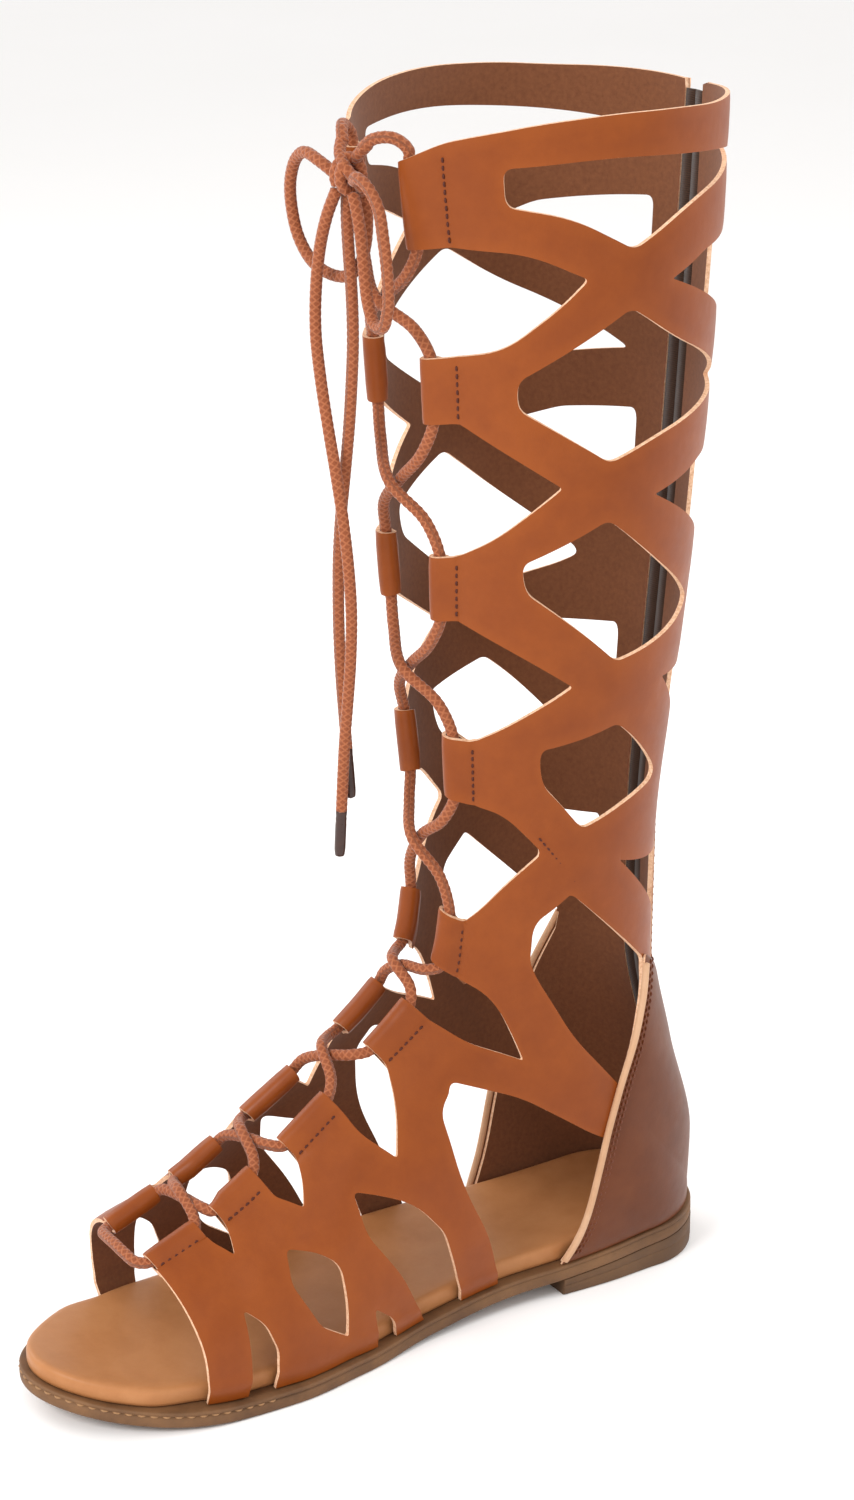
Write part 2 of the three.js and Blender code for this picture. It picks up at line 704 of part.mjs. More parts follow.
const sandal = new THREE.Group();
function add(name, geometry, material) {
  const mesh = new THREE.Mesh(geometry, material.clone());
  mesh.name = name;
  sandal.add(mesh);
}

add('outsole', outsole(), looks.outsole);
add('heel_lift', heelLift(), looks.heel_lift);
add('footbed', footbed(), looks.footbed);
add('upper', upper(), looks.upper);
add('heel_counter', heelCounter(), looks.heel_counter);
add('zip_tape', zipTape(), looks.zip_tape);
for (let i = 0; i + 1 < tabs.length; i += 1) {
  add(`lace_crossing_${i + 1}`, crossing(tabs[i], tabs[i + 1]), looks.lace);
}
add('lace_bar', bar(), looks.lace);
add('lace_knot', knot(), looks.lace);
for (const [name, points] of Object.entries(freeCords)) {
  add(name, cord(vectors(points), LACE, 1 + points.length), looks.lace);
}
add('aglet_long', aglet(freeCords.lace_end_long), looks.aglet);
add('aglet_short', aglet(freeCords.lace_end_short), looks.aglet);
add('zip_slider', zipSlider(), looks.metal);
add('zip_pull', zipPull(), looks.metal);

export default sandal;
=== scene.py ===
"""Knee-high gladiator sandal, right foot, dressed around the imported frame.

Lengths are in millimetres until a mesh is made. The frame is the part's own: +Z up, the toe
towards -Y, the medial side +X. Leather lies on one surface, the last, and a place on it is given
by "along" (mm up the front centre line from the toe), "turn" (degrees round a section, 0 in
front, 180 behind, the lateral side counting on to 360) and "depth" (mm outwards).
"""
import math

import bpy
import numpy as np
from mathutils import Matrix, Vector
from mathutils.geometry import delaunay_2d_cdt
from mathutils.kdtree import KDTree


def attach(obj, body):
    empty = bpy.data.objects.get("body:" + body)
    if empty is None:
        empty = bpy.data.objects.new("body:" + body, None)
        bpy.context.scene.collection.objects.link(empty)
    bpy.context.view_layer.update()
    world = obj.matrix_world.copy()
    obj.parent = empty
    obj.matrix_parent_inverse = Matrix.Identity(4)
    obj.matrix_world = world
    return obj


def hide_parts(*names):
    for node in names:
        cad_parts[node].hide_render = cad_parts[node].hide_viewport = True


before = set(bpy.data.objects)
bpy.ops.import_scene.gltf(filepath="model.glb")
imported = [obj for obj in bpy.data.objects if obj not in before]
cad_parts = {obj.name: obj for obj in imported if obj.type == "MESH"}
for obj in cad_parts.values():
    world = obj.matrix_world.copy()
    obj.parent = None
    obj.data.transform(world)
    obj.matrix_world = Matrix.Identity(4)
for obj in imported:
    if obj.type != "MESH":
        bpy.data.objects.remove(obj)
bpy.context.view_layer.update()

METRE = 0.001
MEDIAL, LATERAL = 1, -1
LENGTH = 270  # of the outsole
HEEL_Y = 35  # back of the heel
HEEL_ROUND = 28  # length of the outsole's round ends
TOE_ROUND = 60
OUTSOLE = 6  # thickness
FOOTBED = 7
HEEL_BREAST = 70  # front face of the heel lift, from the back of the heel
SEAM_LIFT = 0.8  # where the upper starts, above the outsole
LEATHER = 1.8
UPPER_INSET = 4.2  # from the outsole's edge
FOOTBED_INSET = 5.6
LAST_WIDTH = 76  # an inset narrows the plan in proportion to this width
LACE = 4
ZIP_FOOT, ZIP_TOP = 209, 441
SLOT_FOOT = ZIP_FOOT - 1.5  # the slot in the leather starts below the zip
SLOT_HALF = 4.8
SHAFT_TOP = 444  # back end of the collar, beside the zip
COUNTER_TOP = 219  # back end of the counter's upper edge
SLIDER_ALONG = 431
KNOT = np.array([0, -104, 410.0])
BRAID_PITCH = 2.3  # one rib of the braided lace to the next
BRAID_RIBS = 4  # ribs of one family round the lace
TUNNEL = 3.0  # radius of a folded tab round its lace, at the middle of the leather
HEM = 2.5  # how far a folded tab runs on behind its seam
HEM_DEPTH = 1.9  # how far in it lies there


# ---------------------------------------------------------------- the last
def curve(xs, ys):
    """Smooth curve through rows, without overshoot (monotone cubic)."""
    xs, ys = np.asarray(xs, float), np.asarray(ys, float)
    step = np.diff(xs)
    slope = np.diff(ys) / step
    tangent = np.zeros_like(ys)
    tangent[0], tangent[-1] = slope[0], slope[-1]
    for i in range(1, len(xs) - 1):
        if slope[i - 1] * slope[i] > 0:
            before, after = 2 * step[i] + step[i - 1], step[i] + 2 * step[i - 1]
            tangent[i] = (before + after) / (before / slope[i - 1] + after / slope[i])

    def value(x):
        x = np.clip(np.asarray(x, float), xs[0], xs[-1])
        i = np.clip(np.searchsorted(xs, x, side="right") - 1, 0, len(xs) - 2)
        t = (x - xs[i]) / step[i]
        u = 1 - t
        return (u * u * (1 + 2 * t) * ys[i] + t * u * u * step[i] * tangent[i]
                + t * t * (3 - 2 * t) * ys[i + 1] - t * t * u * step[i] * tangent[i + 1])

    return value


# Plan of the outsole: distance from the back of the heel, medial and lateral half width
PLAN = [
    (0, 30, 31), (28, 30, 31.5), (50, 31, 33.5), (70, 30.3, 36), (90, 29, 38.8),
    (125, 31.5, 44.5), (160, 39, 49), (188, 43.5, 50.5), (213, 43, 49), (270, 37, 38),
]
# Underside of the outsole: distance from the back of the heel, height
PROFILE = [
    (0, 12), (35, 9.4), (70, 6.6), (100, 5), (130, 2), (155, 0), (200, 0), (225, 1.2),
    (250, 4.5), (270, 9),
]
medial_plan = curve([row[0] for row in PLAN], [row[1] for row in PLAN])
lateral_plan = curve([row[0] for row in PLAN], [row[2] for row in PLAN])
underside = curve(*zip(*PROFILE))


def sole_top(d):
    return underside(d) + OUTSOLE


def half_width(d, side):
    """Half width of the sole's plan at a distance from the back, with its ends rounded."""
    d = np.clip(d, 0, LENGTH)
    width = np.where(np.asarray(side) > 0, medial_plan(d), lateral_plan(d))
    heel = np.clip(1 - d / HEEL_ROUND, 0, 1)
    toe = np.clip(1 - (LENGTH - d) / TOE_ROUND, 0, 1)
    return width * np.sqrt(1 - heel * heel) * np.sqrt(1 - toe * toe)


def inset_width(d, side, inset):
    return half_width((d - inset) * LENGTH / (LENGTH - 2 * inset), side) * (1 - 2 * inset / LAST_WIDTH)


# Sections of the last: name, front y, front z, end y, end z, medial and lateral half width.
# Sections without an end z end on the sole's edge.
SECTIONS = [
    ("tip", -214, 44, -214, None, 30, 33),
    ("vamp", -197, 53, -194, None, 40, 45),
    ("ball", -172, 65, -163, None, 40, 46),
    ("waist", -144, 83, -123, None, 37, 45),
    ("instep", -118, 102, -82, None, 34, 40),
    ("arch", -96, 119, -45, None, 33, 36),
    ("cuff", -84, 133, -8, None, 33, 34),
    ("ankle", -79.5, 146, 17, None, 33, 33.5),
    ("seat", -78, 154, 30.8, None, 33, 33.5),
    ("heel", -77, 163, 31, 40, 33, 33.5),
    ("tendon", -76.5, 178, 21, 80, 33, 33.5),
    ("gaiter", -76.5, 196, 12.5, 120, 33.5, 34),
    ("low", -78, 218, 12.5, 165, 36, 36.5),
    ("shin", -82, 258, 18, 232, 44, 44.5),
    ("mid", -84.5, 300, 23, 292, 50, 50.5),
    ("calf", -87, 345, 26.5, 350, 54, 54.5),
    ("lace head", -92, 388, 29, 398, 56, 56),
    ("collar", -95, 414, 30, 426, 56, 56),
    ("above", -97, 440, 31, 452, 56, 56),
]
front = np.array([row[1:3] for row in SECTIONS], float)
ALONG = np.concatenate([[0], np.cumsum(np.hypot(*np.diff(front, axis=0).T))])
SEAT = [row[0] for row in SECTIONS].index("seat")
SEAT_ALONG = ALONG[SEAT]
seat_height = float(sole_top(HEEL_Y - SECTIONS[SEAT][3])) + SEAM_LIFT
front_y = curve(ALONG, front[:, 0])
front_z = curve(ALONG, front[:, 1])
end_y = curve(ALONG, [row[3] for row in SECTIONS])
back_z = curve(ALONG[SEAT:], [row[4] or seat_height for row in SECTIONS[SEAT:]])
medial_width = curve(ALONG, [row[5] for row in SECTIONS])
lateral_width = curve(ALONG, [row[6] for row in SECTIONS])


def section_at(a, side):
    """End y, end z, half width and end turn (radians) of a section."""
    y = end_y(a)
    on_sole = a < SEAT_ALONG
    edge = np.where(on_sole, inset_width(HEEL_Y - y, side, UPPER_INSET), 0)
    width = np.maximum(np.where(np.asarray(side) > 0, medial_width(a), lateral_width(a)), edge)
    z = np.where(on_sole, sole_top(HEEL_Y - y) + SEAM_LIFT, back_z(a))
    return y, z, width, math.pi - np.arcsin(edge / width)


def last_point(a, turn):
    a, turn = np.broadcast_arrays(np.asarray(a, float), np.asarray(turn, float))
    side = np.where(turn <= 180, MEDIAL, LATERAL)
    angle = np.radians(np.where(side > 0, turn, 360 - turn))
    y, z, width, end = section_at(a, side)
    share = (1 - np.cos(angle)) / (1 - np.cos(end))
    return np.stack([
        side * width * np.sin(angle),
        front_y(a) + (y - front_y(a)) * share,
        front_z(a) + (z - front_z(a)) * share,
    ], -1)


def unit(v):
    return v / np.maximum(np.linalg.norm(v, axis=-1, keepdims=True), 1e-9)


def lay(a, turn):
    """Points of the last with their outward normals. Near the sole a normal is kept level."""
    reach = 0.5
    point = last_point(a, turn)
    up = last_point(a + reach, turn) - last_point(a - reach, turn)
    # across the front and back centre lines the two sides meet, so both sides of a point count
    around = last_point(a, np.mod(turn + reach, 360)) - last_point(a, np.mod(turn - reach, 360))
    normal = unit(np.cross(around, up))
    height = point[..., 2] - sole_top(HEEL_Y - point[..., 1])
    normal[..., 2] *= np.clip((height - 1) / 12, 0, 1)
    return point, unit(normal)


def place(a, turn, depth):
    point, normal = lay(np.asarray(a, float), np.asarray(turn, float))
    return point + normal * np.asarray(depth, float)[..., None]


def beside_back(a, distance):
    """Turn of a line that runs a distance beside the back centre line. A lateral distance is negative."""
    return 180 - np.degrees(distance / medial_width(a))


def sole_turn(a, side):
    return np.degrees(section_at(a, side)[3])


def from_front(turn):
    """Turn counted from the front on its own side."""
    return np.where(turn > 180, 360 - turn, turn)


def carried_over(a, turn, side):
    """A medial turn on the given side, spread in proportion to that side's reach to the sole."""
    turn = turn * (sole_turn(a, side) / sole_turn(a, MEDIAL))
    return turn if side == MEDIAL else 360 - turn


# ---------------------------------------------------------------- meshes
def mesh_object(name, points, faces, materials, face_material=None, uv=None, smooth=True):
    """An object from points in mm. uv gives two numbers a point."""
    mesh = bpy.data.meshes.new(name)
    mesh.from_pydata([tuple(p) for p in np.asarray(points) * METRE], [], [tuple(f) for f in faces])
    for material in materials:
        mesh.materials.append(material)
    if face_material is not None:
        mesh.polygons.foreach_set("material_index", np.asarray(face_material, np.int32))
    if smooth:
        mesh.polygons.foreach_set("use_smooth", np.ones(len(mesh.polygons), bool))
    if uv is not None:
        layer = mesh.uv_layers.new(name="UVMap")
        corner = np.empty(len(mesh.loops), np.int32)
        mesh.loops.foreach_get("vertex_index", corner)
        layer.data.foreach_set("uv", np.asarray(uv, np.float32)[corner].ravel())
    mesh.update()
    thing = bpy.data.objects.new(name, mesh)
    bpy.context.scene.collection.objects.link(thing)
    return thing


def put(thing, replaces=()):
    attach(thing, "shoe")
    if replaces:
        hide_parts(*replaces)
    return thing


def bevel(thing, width):
    modifier = thing.modifiers.new("rounded edges", "BEVEL")
    modifier.width = width * METRE
    modifier.segments = 2
    modifier.limit_method = "ANGLE"
    modifier.angle_limit = math.radians(50)
    modifier.harden_normals = True


def smooth_path(points, step):
    """Catmull-Rom curve (centripetal) through points, spaced evenly."""
    p = np.asarray(points, float)
    p = np.vstack([2 * p[0] - p[1], p, 2 * p[-1] - p[-2]])
    out = []
    for i in range(1, len(p) - 2):
        q = p[i - 1:i + 3]
        gaps = np.linalg.norm(np.diff(q, axis=0), axis=1)
        t = np.concatenate([[0], np.cumsum(np.maximum(gaps, 1e-6) ** 0.5)])
        x = np.linspace(t[1], t[2], 12, endpoint=False)[:, None]
        a1 = (t[1] - x) / (t[1] - t[0]) * q[0] + (x - t[0]) / (t[1] - t[0]) * q[1]
        a2 = (t[2] - x) / (t[2] - t[1]) * q[1] + (x - t[1]) / (t[2] - t[1]) * q[2]
        a3 = (t[3] - x) / (t[3] - t[2]) * q[2] + (x - t[2]) / (t[3] - t[2]) * q[3]
        b1 = (t[2] - x) / (t[2] - t[0]) * a1 + (x - t[0]) / (t[2] - t[0]) * a2
        b2 = (t[3] - x) / (t[3] - t[1]) * a2 + (x - t[1]) / (t[3] - t[1]) * a3
        out.append((t[2] - x) / (t[2] - t[1]) * b1 + (x - t[1]) / (t[2] - t[1]) * b2)
    out.append(p[-2:-1])
    return respace(np.vstack(out), step)


def distance_along(line):
    """How far each row of a line is from its start, by the first three columns."""
    gaps = np.linalg.norm(np.diff(line[:, :3], axis=0), axis=1)
    return np.concatenate([[0], np.cumsum(gaps)])


def respace(line, step):
    """The line's rows, read again at even distances."""
    reach = distance_along(line)
    count = max(2, int(round(reach[-1] / step)) + 1)
    at = np.linspace(0, reach[-1], count)
    return np.stack([np.interp(at, reach, line[:, k]) for k in range(line.shape[1])], -1)


def carried_frames(line):
    """Tangents and two side directions along a line, without twist."""
    tangent = unit(np.gradient(line, axis=0))
    side = np.cross(tangent[0], [0, 0, 1.0])
    if np.linalg.norm(side) < 0.1:
        side = np.cross(tangent[0], [1.0, 0, 0])
    sides = []
    for t in tangent:
        side = side - t * np.dot(side, t)
        side = side / np.linalg.norm(side)
        sides.append(side)
    sides = np.array(sides)
    return tangent, sides, np.cross(tangent, sides)


def loft_faces(rows, wide, flip=False):
    """Quads between rows of points that each close round, without the ends."""
    index = np.arange(rows * wide).reshape(rows, wide)
    after = np.roll(index, -1, 1)
    quads = np.stack([index[:-1], after[:-1], after[1:], index[1:]], -1).reshape(-1, 4)
    return [tuple(f) for f in (quads[:, ::-1] if flip else quads)]


def end_faces(rows, wide, flip=False):
    """The flat faces that close a loft at its first and last row."""
    first = tuple(range(wide))
    last = tuple(i + (rows - 1) * wide for i in first)
    return [first, last[::-1]] if flip else [first[::-1], last]


def tube_parts(line, radius, sides=12):
    """Points, faces and uv of a tube with closed ends. A radius may vary: radius(reach, angle)."""
    tangent, across, other = carried_frames(line)
    reach = distance_along(line)
    angle = np.linspace(0, 2 * math.pi, sides, endpoint=False)
    rows = len(line)
    size = radius(reach[:, None], angle[None]) if callable(radius) else np.full((rows, sides), radius)
    ring = across[:, None] * np.cos(angle)[None, :, None] + other[:, None] * np.sin(angle)[None, :, None]
    points = (line[:, None] + ring * size[..., None]).reshape(-1, 3)
    uv = np.stack([np.repeat(reach, sides), np.tile(angle / (2 * math.pi), rows)], -1)
    faces = loft_faces(rows, sides)
    start, end = len(points), len(points) + 1
    nose = 0.4 * float(np.mean(size))
    points = np.vstack([points, line[0] - tangent[0] * nose, line[-1] + tangent[-1] * nose])
    uv = np.vstack([uv, [reach[0], 0.5], [reach[-1], 0.5]])
    last = (rows - 1) * sides
    for i in range(sides):
        j = (i + 1) % sides
        faces.append((j, i, start))
        faces.append((last + i, last + j, end))
    return points, faces, uv


def tube(name, line, radius, materials, sides):
    points, faces, uv = tube_parts(line, radius, sides)
    return mesh_object(name, points, faces, materials, uv=uv * [METRE, 1])


def joined(name, parts, materials):
    """One object from many parts: (points, faces), or (points, faces, uv) where every part has uv."""
    faces, start = [], 0
    for part in parts:
        faces.extend(tuple(int(i) + start for i in face) for face in part[1])
        start += len(part[0])
    points = np.vstack([part[0] for part in parts])
    uv = np.vstack([part[2] for part in parts]) * [METRE, 1] if len(parts[0]) > 2 else None
    return mesh_object(name, points, faces, materials, uv=uv)


# ---------------------------------------------------------------- materials
def tone(red, green, blue):
    """Linear colour from an sRGB one on the 0 to 255 scale."""
    def linear(v):
        v /= 255
        return v / 12.92 if v <= 0.04045 else ((v + 0.055) / 1.055) ** 2.4
    return (linear(red), linear(green), linear(blue), 1)


class Look:
    """A material with a Principled shader and helpers that add texture nodes to it."""

    def __init__(self, name, roughness=0.5, **sockets):
        self.material = bpy.data.materials.new(name)
        self.material.use_nodes = True
        self.tree = self.material.node_tree
        self.shader = self.tree.nodes["Principled BSDF"]
        self.shader.inputs["Roughness"].default_value = roughness
        for socket, value in sockets.items():
            self.shader.inputs[socket.replace("_", " ")].default_value = value
        self.place = self.node("ShaderNodeTexCoord").outputs["Object"]
        self.uv = self.tree.nodes["Texture Coordinate"].outputs["UV"]

    def node(self, kind, **values):
        node = self.tree.nodes.new(kind)
        for name, value in values.items():
            setattr(node, name, value)
        return node

    def link(self, out, socket):
        self.tree.links.new(out, socket)

    def noise(self, scale, detail=3, rough=0.55):
        node = self.node("ShaderNodeTexNoise")
        node.inputs["Scale"].default_value = scale
        node.inputs["Detail"].default_value = detail
        node.inputs["Roughness"].default_value = rough
        self.link(self.place, node.inputs["Vector"])
        return node.outputs["Fac"]

    def cells(self, scale):
        """Distance to the edge of Voronoi cells."""
        node = self.node("ShaderNodeTexVoronoi", feature="DISTANCE_TO_EDGE")
        node.inputs["Scale"].default_value = scale
        self.link(self.place, node.inputs["Vector"])
        return node.outputs["Distance"]

    def math(self, operation, a, b=None, clamp=False):
        node = self.node("ShaderNodeMath", operation=operation, use_clamp=clamp)
        for i, value in enumerate((a, b)):
            if isinstance(value, (int, float)):
                node.inputs[i].default_value = value
            elif value is not None:
                self.link(value, node.inputs[i])
        return node.outputs["Value"]

    def ramp(self, fac, stops):
        node = self.node("ShaderNodeValToRGB")
        ramp = node.color_ramp
        while len(ramp.elements) < len(stops):
            ramp.elements.new(0.5)
        for element, (position, color) in zip(ramp.elements, stops):
            element.position = position
            element.color = color
        self.link(fac, node.inputs["Fac"])
        return node.outputs["Color"]

    def mix(self, fac, a, b):
        node = self.node("ShaderNodeMix", data_type="RGBA")
        # a mix node has a set of sockets for each data type: its colours are numbers 6 and 7, and output 2
        for socket, value in ((node.inputs[0], fac), (node.inputs[6], a), (node.inputs[7], b)):
            if isinstance(value, (int, float, tuple)):
                socket.default_value = value
            else:
                self.link(value, socket)
        return node.outputs[2]

    def spread(self, fac, low, high):
        """The same reading, from 0..1 to low..high."""
        node = self.node("ShaderNodeMapRange")
        node.inputs["To Min"].default_value = low
        node.inputs["To Max"].default_value = high
        self.link(fac, node.inputs["Value"])
        return node.outputs["Result"]

    def color(self, out):
        self.link(out, self.shader.inputs["Base Color"])

    def roughness(self, out):
        self.link(out, self.shader.inputs["Roughness"])

    def bump(self, *layers):
        """layers: (height, strength, distance in mm), one on the other."""
        normal = None
        for height, strength, distance in layers:
            node = self.node("ShaderNodeBump")
            node.inputs["Strength"].default_value = strength
            node.inputs["Distance"].default_value = distance * METRE
            self.link(height, node.inputs["Height"])
            if normal:
                self.link(normal, node.inputs["Normal"])
            normal = node.outputs["Normal"]
        self.link(normal, self.shader.inputs["Normal"])

    def attribute(self, name):
        return self.node("ShaderNodeAttribute", attribute_name=name).outputs["Fac"]


WORN_EDGE = 2.6  # mm from a cut edge over which leather is lighter


def leather(name, tones, rough=(0.34, 0.5), coat=0.05, edge=False):
    """Smooth leather. tones: dark, middle, light. edge: lighter near cut edges."""
    dark, mid, light = tones
    look = Look(name, Coat_Weight=coat, Coat_Roughness=0.3, Specular_IOR_Level=0.22)
    broad = look.noise(22, 4, 0.6)
    cloudy = look.noise(95, 5, 0.65)
    reading = look.math("ADD", look.math("MULTIPLY", broad, 0.6), look.math("MULTIPLY", cloudy, 0.4))
    base = look.ramp(reading, [(0.3, dark), (0.5, mid), (0.72, light)])
    pores = look.cells(1500)
    base = look.mix(look.spread(look.noise(1300, 2), 0.0, 0.22), base, dark)
    if edge:
        away = look.math("DIVIDE", look.attribute("from_edge"), WORN_EDGE)
        near = look.math("SUBTRACT", 1.0, away, clamp=True)
        worn = look.math("MULTIPLY", near, look.spread(look.noise(240, 3), 0.1, 0.8), clamp=True)
        base = look.mix(worn, base, light)
    look.color(base)
    look.roughness(look.spread(look.noise(210, 4), *rough))
    look.bump((look.noise(60, 3), 0.25, 0.8), (pores, 0.22, 0.12), (look.noise(2600, 2), 0.12, 0.06))
    return look.material


def cut_edge():
    look = Look("cut edge", 0.62, Specular_IOR_Level=0.3)
    fibre = look.noise(900, 5, 0.7)
    stops = [(0.3, tone(196, 142, 104)), (0.55, tone(232, 190, 156)), (0.75, tone(244, 212, 182))]
    look.color(look.ramp(fibre, stops))
    look.bump((fibre, 0.35, 0.2))
    return look.material


def lining():
    look = Look("lining", 0.78, Specular_IOR_Level=0.25, Sheen_Weight=0.15, Sheen_Roughness=0.5)
    nap = look.noise(700, 5, 0.6)
    look.color(look.ramp(nap, [(0.3, tone(104, 60, 34)), (0.7, tone(120, 72, 42))]))
    look.bump((nap, 0.3, 0.25), (look.cells(1100), 0.15, 0.1))
    return look.material


def sole_rubber(name, dark, light):
    look = Look(name, 0.66, Specular_IOR_Level=0.35)
    broad = look.noise(45, 5, 0.65)
    look.color(look.ramp(broad, [(0.3, dark), (0.7, light)]))
    look.roughness(look.spread(look.noise(180, 4), 0.5, 0.78))
    look.bump((look.noise(700, 4, 0.7), 0.3, 0.18), (look.noise(90, 2), 0.2, 0.5))
    return look.material


def braid_look():
    """Round braid: two families of ribs that cross, in uv (metres along, share round). Its colour is
    painted shade: darker where the ribs dip, lighter on their crowns.
    """
    look = Look("lace braid", 0.7, Specular_IOR_Level=0.3, Sheen_Weight=0.25, Sheen_Roughness=0.4)
    split = look.node("ShaderNodeSeparateXYZ")
    look.link(look.uv, split.inputs["Vector"])
    length, turn = split.outputs["X"], split.outputs["Y"]
    ribs = []
    for sign in (1, -1):
        onward = look.math("MULTIPLY", length, 2 * math.pi / (BRAID_PITCH * METRE))
        round_it = look.math("MULTIPLY", turn, sign * 2 * math.pi * BRAID_RIBS)
        ribs.append(look.math("SINE", look.math("ADD", onward, round_it)))
    weave = look.math("MAXIMUM", ribs[0], ribs[1])
    height = look.spread(weave, 0.45, 1.0)
    fleck = look.math("GREATER_THAN", look.noise(1400, 2), 0.6)
    # painted shade: the colour follows the ribs' height, dark in the hollows between ribs and light on
    # their crowns
    stops = [(0.3, tone(128, 66, 35)), (0.7, tone(146, 78, 44)), (1.0, tone(164, 96, 60))]
    base = look.ramp(height, stops)
    look.color(look.mix(look.math("MULTIPLY", fleck, 0.25), base, tone(92, 40, 22)))
    look.bump((height, 0.8, 0.35), (look.noise(3500, 3), 0.3, 0.1))
    return look.material


def thread(name, color):
    look = Look(name, 0.6, Specular_IOR_Level=0.35)
    twist = look.noise(2200, 2)
    shade = tuple(0.55 * c for c in color[:3]) + (1,)
    look.color(look.mix(look.spread(twist, 0.0, 0.7), color, shade))
    look.bump((twist, 0.4, 0.12))
    return look.material


def tape_look():
    look = Look("zip tape", 0.85, Specular_IOR_Level=0.2, Sheen_Weight=0.2)
    wave = look.node("ShaderNodeTexWave", wave_type="BANDS", bands_direction="Z")
    wave.inputs["Scale"].default_value = 420
    wave.inputs["Distortion"].default_value = 1.2
    look.link(look.place, wave.inputs["Vector"])
    look.color(look.mix(wave.outputs["Fac"], tone(44, 27, 18), tone(64, 42, 28)))
    look.bump((wave.outputs["Fac"], 0.5, 0.15), (look.noise(2500, 2), 0.3, 0.1))
    return look.material


def brass():
    look = Look("aged brass", 0.32, Metallic=1.0)
    wear = look.noise(320, 4, 0.7)
    stops = [(0.35, tone(104, 82, 52)), (0.6, tone(158, 130, 86)), (0.8, tone(190, 166, 120))]
    look.color(look.ramp(wear, stops))
    look.roughness(look.spread(wear, 0.24, 0.5))
    look.bump((look.noise(1200, 3), 0.12, 0.05))
    return look.material


def plastic(name, dark, light, rough):
    look = Look(name, rough, Specular_IOR_Level=0.5)
    cloud = look.noise(500, 4)
    look.color(look.mix(cloud, dark, light))
    look.roughness(look.spread(look.noise(900, 3), rough - 0.08, rough + 0.14))
    look.bump((look.noise(1500, 3), 0.15, 0.06))
    return look.material


HIDE = leather(
    "cognac leather", (tone(122, 55, 11), tone(132, 62, 13), tone(144, 71, 17)), coat=0.04, edge=True)
COUNTER_HIDE = leather(
    "counter leather", (tone(84, 39, 12), tone(96, 46, 15), tone(108, 55, 20)), edge=True)
STAY_HIDE = leather(
    "stay leather", (tone(120, 62, 26), tone(136, 74, 34), tone(150, 88, 46)), (0.4, 0.55))
FOOTBED_HIDE = leather(
    "footbed leather", (tone(162, 106, 62), tone(176, 119, 74), tone(188, 132, 86)), (0.36, 0.5), 0.06)
PIPING_HIDE = leather(
    "piping leather", (tone(178, 134, 100), tone(196, 154, 120), tone(210, 172, 140)), (0.45, 0.6))
EDGE = cut_edge()
LINING = lining()
RUBBER = sole_rubber("outsole rubber", tone(84, 56, 34), tone(124, 88, 56))
LIFT_RUBBER = sole_rubber("heel rubber", tone(70, 48, 32), tone(104, 74, 48))
BRAID = braid_look()
DARK_THREAD = thread("dark thread", tone(82, 30, 14))
COUNTER_THREAD = thread("counter thread", tone(112, 58, 34))
PALE_THREAD = thread("pale thread", tone(168, 126, 86))
TAPE = tape_look()
TEETH = plastic("zip teeth", tone(46, 29, 20), tone(74, 50, 34), 0.5)
AGLET_PLASTIC = plastic("aglet", tone(36, 18, 12), tone(66, 34, 22), 0.28)
BRASS = brass()


# ---------------------------------------------------------------- camera, light, floor
CAMERA = (0.899, -0.629, 0.602)
LENS = 79
AIM = (0.006, -0.079, 0.2125)


def camera_and_light():
    scene = bpy.context.scene
    camera = bpy.data.objects.new("camera", bpy.data.cameras.new("camera"))
    scene.collection.objects.link(camera)
    camera.location = CAMERA
    camera.rotation_euler = (Vector(AIM) - Vector(CAMERA)).to_track_quat("-Z", "Y").to_euler()
    camera.data.sensor_fit = "VERTICAL"
    camera.data.sensor_height = 36
    camera.data.lens = LENS
    scene.camera = camera

    world = bpy.data.worlds.new("studio")
    world.use_nodes = True
    background = world.node_tree.nodes["Background"]
    background.inputs["Color"].default_value = (1, 0.99, 0.98, 1)
    background.inputs["Strength"].default_value = 0.95
    scene.world = world
    scene.view_settings.view_transform = "Standard"
    # name, position, aim, power, size
    lamps = [
        ("key", (0.45, -1.45, 1.15), (0, -0.06, 0.22), 17, 0.6),
        ("fill", (1.6, -0.3, 0.9), (0, -0.05, 0.2), 3, 1.2),
        ("rim", (0.3, 1.3, 0.8), (0, 0, 0.25), 8, 0.5),
        ("lateral", (-1.3, -0.6, 0.9), (0, -0.05, 0.2), 8, 0.9),
    ]
    for name, spot, aim, power, size in lamps:
        data = bpy.data.lights.new(name, "AREA")
        data.energy = power
        data.size = size
        lamp = bpy.data.objects.new(name, data)
        lamp.location = spot
        lamp.rotation_euler = (Vector(aim) - Vector(spot)).to_track_quat("-Z", "Y").to_euler()
        scene.collection.objects.link(lamp)


def floor():
    look = Look("floor", 0.6, Specular_IOR_Level=0.2)
    look.color(look.mix(look.noise(3, 3), tone(250, 249, 248), tone(253, 252, 252)))
    reach = 4000
    corners = [(-reach, -reach, 0), (reach, -reach, 0), (reach, reach, 0), (-reach, reach, 0)]
    mesh_object("floor", corners, [(0, 1, 2, 3)], [look.material], smooth=False)


